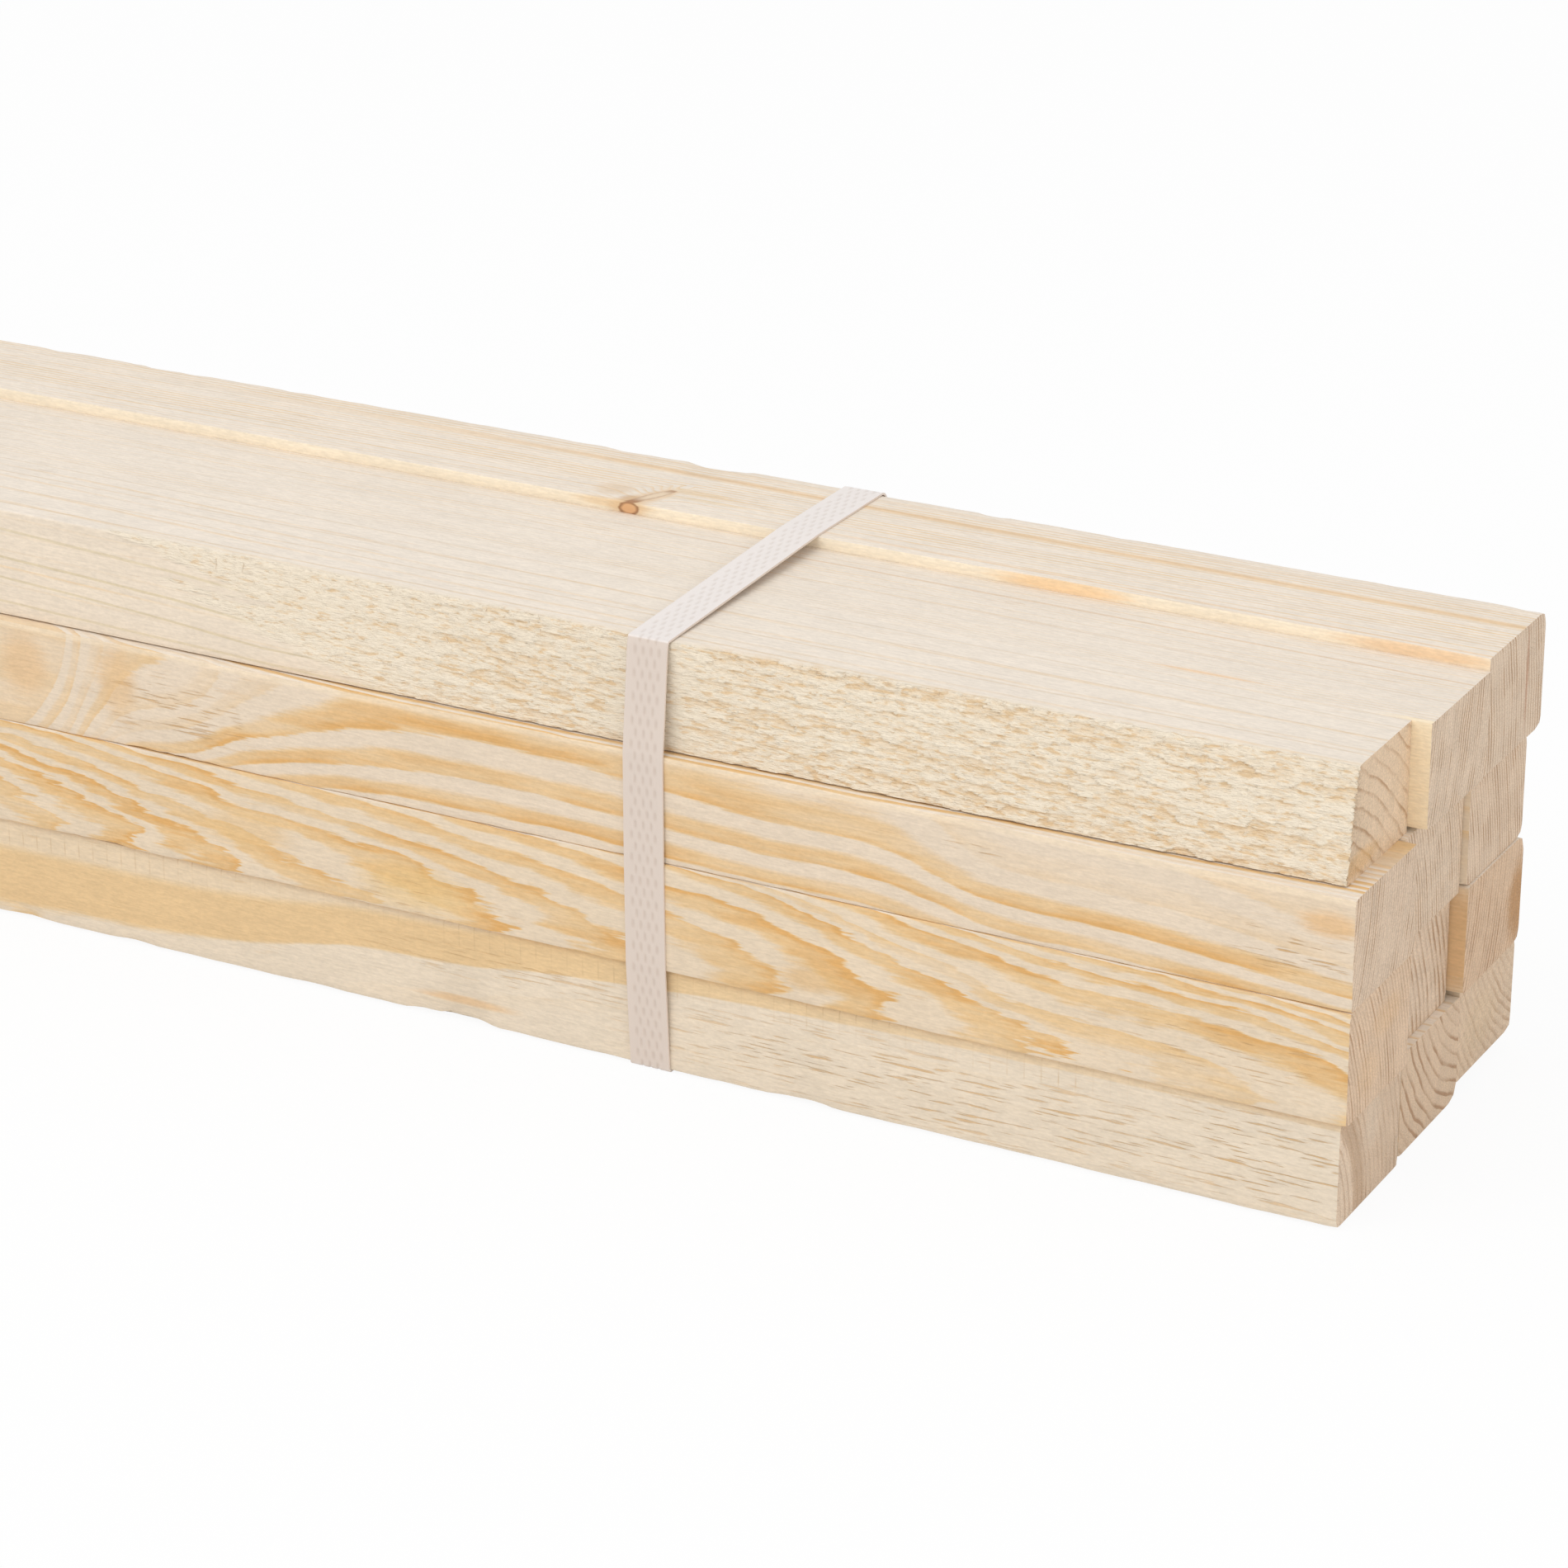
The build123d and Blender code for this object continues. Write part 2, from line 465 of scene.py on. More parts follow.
# %% Make every planed stud
TORN_STUD = (1, 1)
HIDDEN_STUDS = ((2, 2), (3, 2))
PLAIN_PASSES, FINE_PASSES = (16, 12), (28, 25)
places_in_bundle = [(row, column) for row in range(1, ROWS + 1) for column in range(1, COLUMNS + 1)]
studs = {}
for seed, row_and_column in enumerate((p for p in places_in_bundle if p != TORN_STUD), start=1):
    row, column = row_and_column
    back = ROUND_ARRIS if column == COLUMNS else SAWN_ARRIS
    radii = [SAWN_ARRIS, WORN_ARRIS if row_and_column == (4, 2) else back, back, SAWN_ARRIS]
    for arris, radius in FRONT_ARRISES.get(row_and_column, {}).items():
        radii[arris] = radius
    touching, closer = TOP_JOINTS.get(row_and_column, ((), 0.0))
    for arris in touching:
        radii[arris] = SHARP_ARRIS
    name = f"stud_row{row}_col{column}"
    passes = PLAIN_PASSES if row_and_column in HIDDEN_STUDS else FINE_PASSES
    studs[name] = planed_stud(name, radii, seed, passes, touching, closer)
print("planed studs", {name: len(p.data.polygons) for name, p in studs.items()})

# %% [markdown]
# ## The torn stud
# The front stud of the top row was sawn from the outside of its log, and the plane tore
# its front face: the grain came up there and short flakes broke out. The tear starts
# at the top edge and covers the whole face towards the end. It is the same tube of
# rings with a much finer front: every front point is pushed in by the flakes' height.
# A bump in the finish would be quicker, but its edge against the light would stay straight.

# %% Where the torn stud's front edges stand back, in millimetres behind the front plane
TOP_EDGE_BACK = (
    (-1300, 0.3), (450, 0.3), (690, 3.3), (829, 3.3), (895, 2.5), (935, 1.6), (944, 1.15),
    (961, 1.15), (985, 2.4), (1016, 4.2), (1075, 5.4), (1130, 6.8), (1185, 9.0), (1197.3, 9.6),
)
BOTTOM_EDGE_BACK = ((-1300, 0.1), (1078, 0.1), (1140, 1.2), (1197.3, 2.7))
TORN_FROM, TORN_SPREAD = 735.0, 105.0
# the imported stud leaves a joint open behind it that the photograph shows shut
JOINT_CLOSED = 1.72
# under the strap and just beside it the torn fibres are pressed flat and held: (x, reach)
PRESSED_AT, PRESSED_REACH = 953.0, 13.0
HELD_AT, HELD_REACH = 952.7, 10.0

# %% The torn stud before it is torn
def untorn_bar(low, high):
    """The stud's rings with soft front arrises, and where on the section each point is."""
    bottom, back = np.linspace(0, 1, 10, endpoint=False), np.linspace(0, 1, 8, endpoint=False)
    top = np.concatenate([np.linspace(0, 0.76, 10, endpoint=False), np.linspace(0.76, 1, 14, endpoint=False)])
    front = np.linspace(0, 1, 70, endpoint=False)
    share = np.concatenate([bottom, back, top, front])
    side = np.repeat([0, 1, 2, 3], [len(bottom), len(back), len(top), len(front)])

    # rings far apart where the face is whole, and a millimetre apart where it is torn
    far_end = low[0] + np.array([0.0, 0.0, 0.6, 1.6])
    whole = np.linspace(low[0] + 3.5, 684.0, 154)
    border = np.linspace(686.0, 776.0, 46)
    fine = np.linspace(777.0, high[0] - 1.0, 545)
    x = np.concatenate([far_end, whole, border, fine, [high[0] - 0.4, high[0]]])

    def corner(y, z):
        return np.stack([y * np.ones_like(x), z * np.ones_like(x)], 1)

    top_back = np.interp(x, *zip(*TOP_EDGE_BACK))
    bottom_back = np.interp(x, *zip(*BOTTOM_EDGE_BACK))
    corners = np.stack([
        corner(low[1] + bottom_back, low[2]), corner(high[1], low[2]),
        corner(high[1], high[2]), corner(low[1] + top_back, high[2]),
    ], 1)
    start, stop = corners[:, side], corners[:, (side + 1) % 4]
    table = np.empty((len(x), len(share), 3))
    table[:, :, 0] = x[:, None]
    table[:, :, 1:] = start + (stop - start) * share[None, :, None]

    length = np.where(side % 2 == 0, high[1] - low[1], high[2] - low[2])
    to_corner = np.minimum(share, 1 - share) * length
    from_centre = np.clip(SAWN_ARRIS - to_corner, 0, None)
    round_off = SAWN_ARRIS - np.sqrt(np.clip(SAWN_ARRIS**2 - from_centre**2, 0, None))
    at_back = (side == 1) | ((side == 0) & (share > 0.5)) | ((side == 2) & (share < 0.5))
    round_off[at_back] = 0.0
    inward = np.array([(0, 1), (-1, 0), (0, -1), (1, 0)])[side]
    table[:, :, 1:] += (inward * round_off[:, None] * SLANT)[None]
    return table, side, share, length


# %% How deep the tear is
def tear(u, z, high, low):
    """How far the face is torn, 0 to 1, and how deep, at each x and z."""
    # none, then all of it, behind a ragged border that slants down the face
    below_top = high[2] - z
    border = TORN_FROM + TORN_SPREAD * below_top / (high[2] - low[2])
    ragged = 22 * rough_line(u * 0.6 + z * 3.1, 9.0, 5) + 12 * rough_line(u * 0.3 - z * 5.3, 7.0, 6)
    torn = np.clip((u - border + ragged) / 16.0, 0, 1)
    stronger = np.clip((u - TORN_FROM) / 160.0, 0.6, 1.0)
    stronger = stronger * (1 - 0.6 * np.exp(-(((u - PRESSED_AT) / PRESSED_REACH) ** 2)))
    # large flakes, small flakes on them, single fibres, and long furrows
    rough = 0.85 * (1 - flakes(u, z, 7.5, 2.5, 11)) + 0.5 * (1 - flakes(u, z + 0.12 * u, 3.4, 1.25, 12))
    rough += 0.12 * (1 + rough_line(u * 1.0 + z * 7.7, 1.7, 13))
    rough += 0.4 * np.clip(rough_line(u * 0.05 + z * 1.3, 3.0, 14), 0, 1)
    return torn, np.clip(rough - 0.3, 0.0, None) * torn * stronger * 0.8


# %% The torn stud
def torn_stud(name):
    """The front stud of the top row, with its torn face and loose fibres."""
    low, high = box_of(name)
    high[1] += JOINT_CLOSED
    table, side, share, length = untorn_bar(low, high)
    rings, points = table.shape[:2]
    u, z = table[:, :, 0], table[:, :, 2]
    below_top = high[2] - z
    torn, depth = tear(u, z, high, low)

    held = 1 - 0.75 * np.clip(1 - np.abs(u - HELD_AT) / HELD_REACH, 0, 1)
    on_front = (side == 3).astype(float)
    on_top = np.where(side == 2, np.clip(1 - (1 - share) * length / 5.0, 0, 1), 0.0)
    on_bottom = np.where(side == 0, np.clip(1 - share * length / 5.0, 0, 1), 0.0)
    table[:, :, 1] += depth * held * (on_front + on_top**2 + on_bottom**2)[None]
    at_border = np.clip(1 - below_top / 3.0, 0, 1) * on_front[None] + on_top[None] ** 2
    frayed = np.clip(depth * 0.8 + 0.5 * torn * rough_line(u, 3.4, 15), 0, 2.0)
    table[:, :, 2] -= frayed * at_border * held

    # the torn fibres stick out at the end by different lengths
    fringe = 1.1 * np.clip(0.5 + 0.9 * rough_line(share * 70, 1.6, 21), 0, 1) * on_front
    for edge, amount in ((-2, 1.0), (-3, 0.6), (-4, 0.3)):
        table[edge, :, 0] -= fringe * amount
    close_ends(table)
    piece, ring, point = tube("visual_" + name, rings, points, (30, 25))
    put(piece, ring, point, table)
    mark(piece, "torn", (torn * on_front[None] + torn * on_top[None] * 0.8)[ring, point])
    mark(piece, "pit", (depth / 1.3)[ring, point])
    # where loose fibres can hang on: torn places high on the face, with room in front
    may_hang = (torn * on_front[None] > 0.9) & (below_top < 26) & (table[:, :, 1] > low[1] + 1.6)
    add_loose_fibres(piece, table[may_hang], (table[may_hang][:, 2] > high[2] - 3.0))
    finish_piece(piece, name, 55)
    return piece


# %% [markdown]
# ## Loose fibres
# Where the grain came up, thin slivers still hang on by one end, most of them along the top
# edge. One sliver is a stretched cube with a few cuts along it. It is copied with its own
# mesh each time, bent, and joined to the stud, because it belongs to the same wood.

# %% Loose fibres
FIBRES_ON_FACE, FIBRES_ON_EDGE = 60, 40
# the highest that a fibre reaches, so that it stays inside the bundle's box
HIGHEST_FIBRE = 153.6


def add_loose_fibres(stud, spots, is_edge):
    """Thin curled slivers that hang on the torn face, most of them at its top edge."""
    random = np.random.default_rng(31)
    bpy.ops.object.select_all(action="DESELECT")
    bpy.ops.mesh.primitive_cube_add(size=1.0)
    sliver = bpy.context.active_object
    cut_lengthwise(sliver, 0, 5)
    for label, value in (("torn", 1.0), ("pit", 0.1)):
        mark(sliver, label, np.full(len(sliver.data.vertices), value))
    unit = corners_of(sliver.data)
    along = unit[:, 0] + 0.5
    chosen = [spots[is_edge][k] for k in random.integers(0, is_edge.sum(), FIBRES_ON_EDGE)]
    chosen += [spots[k] for k in random.integers(0, len(spots), FIBRES_ON_FACE)]
    copies = []
    for spot in chosen:
        length, thick = random.uniform(1.6, 5.0), random.uniform(0.12, 0.26)
        turn = random.normal(0.0, 0.7) + (math.pi if random.random() < 0.3 else 0.0)
        lean, curl = random.uniform(0.05, 0.3), random.uniform(-0.35, 0.35)
        run, taper = along * length, thick * (1.1 - along)
        side = curl * length * along**2 + unit[:, 2] * taper
        table = np.empty((len(unit), 3))
        table[:, 0] = spot[0] + run * math.cos(turn) - side * math.sin(turn)
        table[:, 2] = np.minimum(spot[2] + run * math.sin(turn) + side * math.cos(turn), HIGHEST_FIBRE)
        table[:, 1] = spot[1] - 0.05 - lean * run + 0.25 * lean * length * along**2 + unit[:, 1] * taper
        copy = sliver.copy()
        copy.data = sliver.data.copy()
        bpy.context.scene.collection.objects.link(copy)
        copy.data.vertices.foreach_set("co", (table * MM).ravel())
        copies.append(copy)
    bpy.data.objects.remove(sliver)
    bpy.ops.object.select_all(action="DESELECT")
    for copy in copies:
        copy.select_set(True)
    stud.select_set(True)
    bpy.context.view_layer.objects.active = stud
    bpy.ops.object.join()


studs["stud_row1_col1"] = torn_stud("stud_row1_col1")
print("torn stud", len(studs["stud_row1_col1"].data.polygons), "faces")

# %% [markdown]
# ## The straps
# A strap is flat tape of milky polypropylene, fifteen millimetres wide, with rows of
# small pressed dimples that stop it slipping in the sealing tool. It is made flat as a
# grid, gets its dimples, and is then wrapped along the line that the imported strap
# follows round the studs. On the hidden back its end lies on its start.

# %% The tape
TAPE_WIDTH, TAPE_THICKNESS, LAP = 15.0, 0.8, 40.0
DIMPLE_ACROSS, DIMPLE_ALONG, DIMPLE_DEPTH = 3.0, 8.0, 0.2
TAPE_MARGIN = 1.9
TAPE_ROWS, TAPE_COLUMNS = 860, 35
# the grid's rows are this far apart on a straight run, or turn by this much in a bend
STRAIGHT_STEP, BEND_STEP = 0.9, math.radians(9)


def inner_line(node):
    """The inner edge of a packed strap's section as (y, z), anticlockwise, in millimetres."""
    shape = bmesh.new()
    shape.from_mesh(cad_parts[node].data)
    bmesh.ops.remove_doubles(shape, verts=shape.verts, dist=1e-6)
    face_x = max(v.co.x for v in shape.verts)
    after = {}
    for edge in shape.edges:
        on_end_face = all(abs(v.co.x - face_x) < 1e-6 for v in edge.verts)
        if on_end_face and any(abs(f.normal.x) < 0.5 for f in edge.link_faces):
            a, b = edge.verts
            after.setdefault(a, []).append(b)
            after.setdefault(b, []).append(a)
    loops = []
    left = set(after)
    while left:
        here = left.pop()
        loop = [here]
        while True:
            following = [v for v in after[here] if v in left]
            if not following:
                break
            here = following[0]
            left.discard(here)
            loop.append(here)
        loops.append(np.array([(v.co.y, v.co.z) for v in loop]) / MM)
    shape.free()

    def area(loop):
        y, z = loop.T
        return 0.5 * float(np.sum(y * np.roll(z, -1) - z * np.roll(y, -1)))

    inner = min(loops, key=lambda loop: abs(area(loop)))
    return inner if area(inner) > 0 else inner[::-1]


def tape_path(line, lap_from):
    """Places and outward directions along the tape, closer together in the bends."""
    back = int(np.argmax(line[:, 0] - 0.001 * np.abs(line[:, 1] - lap_from)))
    line = np.roll(line, -back, axis=0)
    closed = np.vstack([line, line[:1]])
    steps = np.linalg.norm(np.diff(closed, axis=0), axis=1)
    run = np.concatenate([[0], np.cumsum(steps)])
    around = run[-1]
    # where the tape starts: on the back, at the lap's lower end
    fine = np.linspace(0, around, 40000)
    y, z = np.interp(fine, run, closed[:, 0]), np.interp(fine, run, closed[:, 1])
    on_back = y > y.max() - 0.3
    start = fine[np.argmin(np.where(on_back, np.abs(z - lap_from), 1e9))]

    def at(s):
        s = (s + start) % around
        return np.stack([np.interp(s, run, closed[:, 0]), np.interp(s, run, closed[:, 1])], -1)

    s = np.linspace(0, around + LAP, 30000)
    ahead, behind = at(s + 0.35), at(s - 0.35)
    way = (ahead - behind) / np.linalg.norm(ahead - behind, axis=1, keepdims=True)
    outward = np.stack([way[:, 1], -way[:, 0]], -1)
    heading = np.unwrap(np.arctan2(way[:, 1], way[:, 0]))
    turning = np.concatenate([[0], np.cumsum(np.abs(np.diff(heading)))])
    return s, at(s), outward, s / STRAIGHT_STEP + turning / BEND_STEP, around


def wrapped_tape(name):
    """One strap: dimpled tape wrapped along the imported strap's inner line."""
    low, high = box_of(name)
    middle_z = (low[2] + high[2]) / 2
    s, places, outward, weight, around = tape_path(inner_line(name), middle_z - LAP / 2)
    bpy.ops.object.select_all(action="DESELECT")
    bpy.ops.mesh.primitive_grid_add(x_subdivisions=TAPE_COLUMNS, y_subdivisions=TAPE_ROWS, size=1.0)
    piece = bpy.context.active_object
    piece.name = piece.data.name = "visual_" + name
    flat = corners_of(piece.data)
    across = flat[:, 0] * (high[0] - low[0])
    order = np.interp((flat[:, 1] + 0.5), [0, 1], [weight[0], weight[-1]])
    along = np.interp(order, weight, s)
    # dimples in staggered rows, none near the edges
    waves = np.cos(2 * np.pi * across / DIMPLE_ACROSS) * np.cos(2 * np.pi * along / DIMPLE_ALONG)
    inside = np.clip((TAPE_WIDTH / 2 - TAPE_MARGIN - np.abs(across)) / 0.5, 0, 1)
    dimple = np.clip((waves - 0.1) / 0.6, 0, 1) * inside * DIMPLE_DEPTH
    lift = np.clip((along - around + 4.0) / 4.0, 0, 1) * TAPE_THICKNESS
    height = TAPE_THICKNESS - dimple + lift
    spot = np.stack([np.interp(along, s, places[:, k]) for k in (0, 1)], -1)
    out = np.stack([np.interp(along, s, outward[:, k]) for k in (0, 1)], -1)
    table = np.empty((len(flat), 3))
    table[:, 0] = (low[0] + high[0]) / 2 + across
    table[:, 1:] = spot + out * height[:, None]
    piece.data.vertices.foreach_set("co", (table * MM).ravel())
    piece.data.update()
    # normals outward, then thickness inwards
    middle = piece.data.polygons[len(piece.data.polygons) // 4]
    inward = Vector((0, (low[1] + high[1]) / 2 * MM - middle.center.y, middle_z * MM - middle.center.z))
    if middle.normal.dot(inward) > 0:
        piece.data.flip_normals()
    mark(piece, "dimple", dimple / DIMPLE_DEPTH)
    thick = piece.modifiers.new("thickness", "SOLIDIFY")
    thick.thickness = (TAPE_THICKNESS - 0.05) * MM
    thick.offset = -1.0
    bpy.ops.object.modifier_apply(modifier=thick.name)
    finish_piece(piece, name, 60)
    return piece, around


straps = {}
for name in ("strap_near_end", "strap_far_end"):
    straps[name], around = wrapped_tape(name)
    print(name, "goes round in", round(around, 1), "mm,", len(straps[name].data.polygons), "faces")

# %% [markdown]
# ## How pine grows, and how that becomes a finish
# A stud is a bar cut out of a tree, so its grain isn't drawn on its faces. The tree adds
# one cone of wood a year round its pith, pale in spring and honey coloured by autumn,
# and each face cuts those cones at its own angle: lines on the edges, flames on a flat
# sawn face, arcs on the sawn ends. One solid pattern gives all of them at once, and
# they meet at every arris. For each stud the recipe needs the place of the pith, how
# the trunk swells along the stud, and how wide the years are.

# %% How much the trunk swells along the flame-grained studs, as (x, millimetres)
# The swells of rows 2 and 3 weren't chosen by hand. A least-squares fit outside this script
# found them, together with those studs' piths and the years' radii that have two decimals,
# from points picked along the flames in the photograph. A few end values were then set one
# by one. A better lesson would choose them by hand from a few features, such as the flames' tips.
ROW2_SWELL = (
    (640, -9.0), (690, 0.0), (715, 9.11), (735, 19.57), (750, 23.34), (765, 24.36), (800, 28.99),
    (850, 32.0), (900, 32.51), (950, 32.04), (1000, 31.35), (1040, 31.17), (1060, 29.84), (1080, 28.3),
    (1120, 27.98), (1210, 25.66),
)
ROW3_SWELL = (
    (600, -2.5), (640, -1.3), (680, 0.0), (720, 1.6), (760, 3.35), (800, 4.93), (850, 6.4), (900, 8.4),
    (950, 10.6), (1000, 13.15), (1050, 16.74), (1100, 19.34), (1150, 20.11), (1210, 22.35),
)
ROW4_SWELL = (
    (600, 0.5), (690, 0), (720, -0.2), (760, -0.55), (780, -1.0), (800, -1.9), (820, -3.4), (840, -4.8),
    (860, -5.2), (880, -5.75), (900, -7.1), (940, -9.4), (980, -11.0), (1040, -12.3), (1100, -13.0),
    (1200, -13.6),
)
ROW1_SWELL = ((600, -1.5), (690, 0.0), (800, 2.6), (900, 4.0), (1000, 5.0), (1210, 5.6))

# %% [markdown]
# ## Twelve studs, twelve trees
# Each stud has its own row here. Where the photograph shows flames, the years are listed one
# by one. Elsewhere one width for every year is enough, because only fine lines are seen.

# %% Each stud's place in its tree, in millimetres
# pith: (y, z) of the middle of the tree. years: the radius and strength of each year that
# shows, or width: the width of every year. late: where in a year the dark wood begins.
# end: pith, year width and strength of the pattern on the sawn ends.
STUDS = {
    # the torn stud's front tint is painted light: it makes the front paler, as if it leaned up into the light
    "stud_row1_col1": dict(
        pith=(-137.0, 14.0), width=5.6, swell=ROW1_SWELL, strength=0.42, wander=0.4, late=0.72,
        end=((-137.0, 14.0), 5.6, 0.5), end_late=0.62, end_tint=(1.06, 1.015, 0.94), tint=(1.04, 1.08, 1.16),
    ),
    "stud_row1_col2": dict(pith=(-190.0, 175.0), width=1.9, strength=0.3, wander=0.3, late=0.4,
                           end=((-190.0, 175.0), 2.0, 0.75), fuzz=1.0),
    "stud_row1_col3": dict(pith=(-90.0, 120.0), width=2.0, strength=0.45, wander=0.3, late=0.4,
                           end=((-90.0, 120.0), 2.2, 0.8)),
    "stud_row2_col1": dict(
        pith=(-178.2, 122.0), swell=ROW2_SWELL, strength=0.92, wander=0.4, late=0.28,
        years=((112.0, 0.4), (116.0, 0.45), (120.2, 0.3), (124.13, 0.5), (127.45, 0.28), (129.94, 0.28),
               (133.27, 1.0), (136.54, 1.0), (140.1, 0.95), (143.6, 0.9), (147.2, 0.7), (150.8, 0.7),
               (154.5, 0.6)),
        end=((-178.0, 122.0), 1.9, 0.8), end_tint=(0.985, 0.97, 0.96), tint=(1.0, 1.01, 1.05),
    ),
    "stud_row2_col2": dict(pith=(-150.0, 60.0), width=1.7, strength=0.4, wander=0.3, late=0.5,
                           end=((-150.0, 60.0), 1.9, 0.8)),
    "stud_row2_col3": dict(pith=(-120.0, 60.0), width=1.9, strength=0.4, wander=0.3, late=0.5,
                           end=((-120.0, 60.0), 2.0, 0.85), end_tint=(1.0, 0.98, 0.96)),
    "stud_row3_col1": dict(
        pith=(-168.8, 39.0), swell=ROW3_SWELL, strength=0.97, wander=0.5, late=0.26, curl=1.8,
        years=((85.0, 0.6), (86.6, 0.7), (88.2, 0.7), (89.7, 0.8), (91.24, 0.75), (92.82, 0.9),
               (94.24, 1.0), (95.88, 0.85), (98.14, 1.0), (100.19, 0.9), (103.08, 0.85), (106.07, 1.0),
               (109.03, 1.0), (110.43, 0.5), (113.33, 1.0), (115.4, 0.9), (116.94, 0.9), (118.6, 0.8),
               (120.2, 0.8), (121.9, 0.8)),
        end=((-168.0, 20.0), 2.1, 0.6), end_tint=(1.0, 0.94, 0.88),
    ),
    "stud_row3_col2": dict(pith=(-100.0, 20.0), width=3.0, strength=0.5, wander=0.4, late=0.5,
                           end=((-100.0, 20.0), 3.3, 0.7), end_tint=(0.985, 0.965, 0.95)),
    "stud_row3_col3": dict(pith=(-80.0, 90.0), width=2.0, strength=0.4, wander=0.3, late=0.5,
                           end=((-80.0, 90.0), 2.3, 0.7), end_tint=(0.95, 0.86, 0.77)),
    "stud_row4_col1": dict(
        pith=(-114.0, 0.0), swell=ROW4_SWELL, width=4.6, strength=0.12, wander=0.3, late=0.4,
        heart=(37.3, 45.5), tint=(1.01, 1.05, 1.11),
        end=((-114.0, 0.0), 3.4, 0.4), end_late=0.5, end_tint=(1.03, 1.02, 1.01),
    ),
    "stud_row4_col2": dict(pith=(48.0, 62.0), width=5.0, strength=0.8, wander=0.5, late=0.55,
                           end=((48.0, 62.0), 4.6, 0.72), end_late=0.55, end_tint=(0.95, 0.9, 0.84)),
    "stud_row4_col3": dict(pith=(120.0, 80.0), width=2.4, strength=0.25, wander=0.4, late=0.5,
                           end=((120.0, 80.0), 3.4, 0.4), end_tint=(0.98, 0.945, 0.89)),
}

# %% [markdown]
# ## What makes each stud known
# Twelve studs of one recipe would look like copies. The photograph shows resin streaks,
# stains, spots that the plane tore a little, and darker patches on the sawn ends, and each
# is placed as a soft line or a soft blot in the solid wood.

# %% Lines and stains that single studs show
# A line runs along the stud: its face, its height on that face at each x, its width, colour
# and strength, and the x between which it fades in. A stain is a soft blot in the wood:
# its middle, size, colour and strength.
# a few of these lines and blots are painted light, a highlight or a face's shade, and each is marked where it
# stands
LINES = {
    "stud_row1_col3": (
        # a painted highlight: this wide pale line makes the lit front of the step pale all along
        ("front", ((600, 155.0), (1203, 154.9)), 12.0, (252, 238, 214), 1.0, (-1300, -1250)),
        ("top", ((600, 66.9), (900, 63.7), (1000, 61.3), (1203, 58.9)), 4.2, (234, 203, 162), 0.65,
         (600, 900)),
        ("top", ((600, 67.2), (900, 64.0), (1000, 61.6), (1203, 59.2)), 1.5, (224, 186, 140), 0.5,
         (760, 900)),
        ("top", ((600, 35.6), (970, 33.0), (1203, 30.0)), 1.1, (232, 198, 158), 0.6, (900, 1000)),
        ("top", ((600, 74.0), (1203, 68.0)), 0.9, (226, 196, 160), 0.4, (600, 900)),
        ("top", ((600, 47.0), (1203, 43.0)), 0.8, (222, 198, 168), 0.35, (600, 900)),
    ),
    "stud_row1_col2": (
        ("top", ((700, 19.0), (850, 17.8), (1203, 14.0)), 1.0, (222, 190, 154), 0.6, (820, 960)),
        ("top", ((600, 3.5), (1203, -3.0)), 0.8, (220, 196, 168), 0.4, (900, 1050)),
    ),
    "stud_row1_col1": (
        ("front", ((600, 149.0), (690, 146.0), (800, 140.0)), 0.9, (216, 196, 158), 0.7, (300, 600)),
        ("front", ((600, 138.0), (690, 136.0), (800, 130.0)), 0.9, (214, 193, 153), 0.75, (300, 600)),
        ("front", ((600, 131.0), (690, 128.5), (800, 122.0)), 0.8, (214, 193, 153), 0.7, (300, 600)),
        ("front", ((600, 123.0), (690, 120.0), (830, 116.0)), 0.8, (216, 196, 158), 0.65, (300, 600)),
        ("top", ((690, -64.0), (1203, -68.0)), 0.9, (220, 194, 158), 0.55, (500, 700)),
        ("top", ((690, -51.0), (1203, -55.0)), 0.8, (220, 196, 164), 0.5, (500, 700)),
        ("top", ((690, -37.0), (1203, -41.0)), 0.8, (220, 196, 164), 0.5, (500, 700)),
        ("top", ((690, -26.0), (1203, -30.0)), 0.7, (220, 198, 168), 0.45, (500, 700)),
    ),
    "stud_row2_col1": (
        # a painted highlight: a bright cream band along the lit top arris of the front
        ("front", ((600, 114.3), (1203, 114.2)), 3.2, (243, 222, 190), 0.65, (-1300, -1250)),
    ),
}
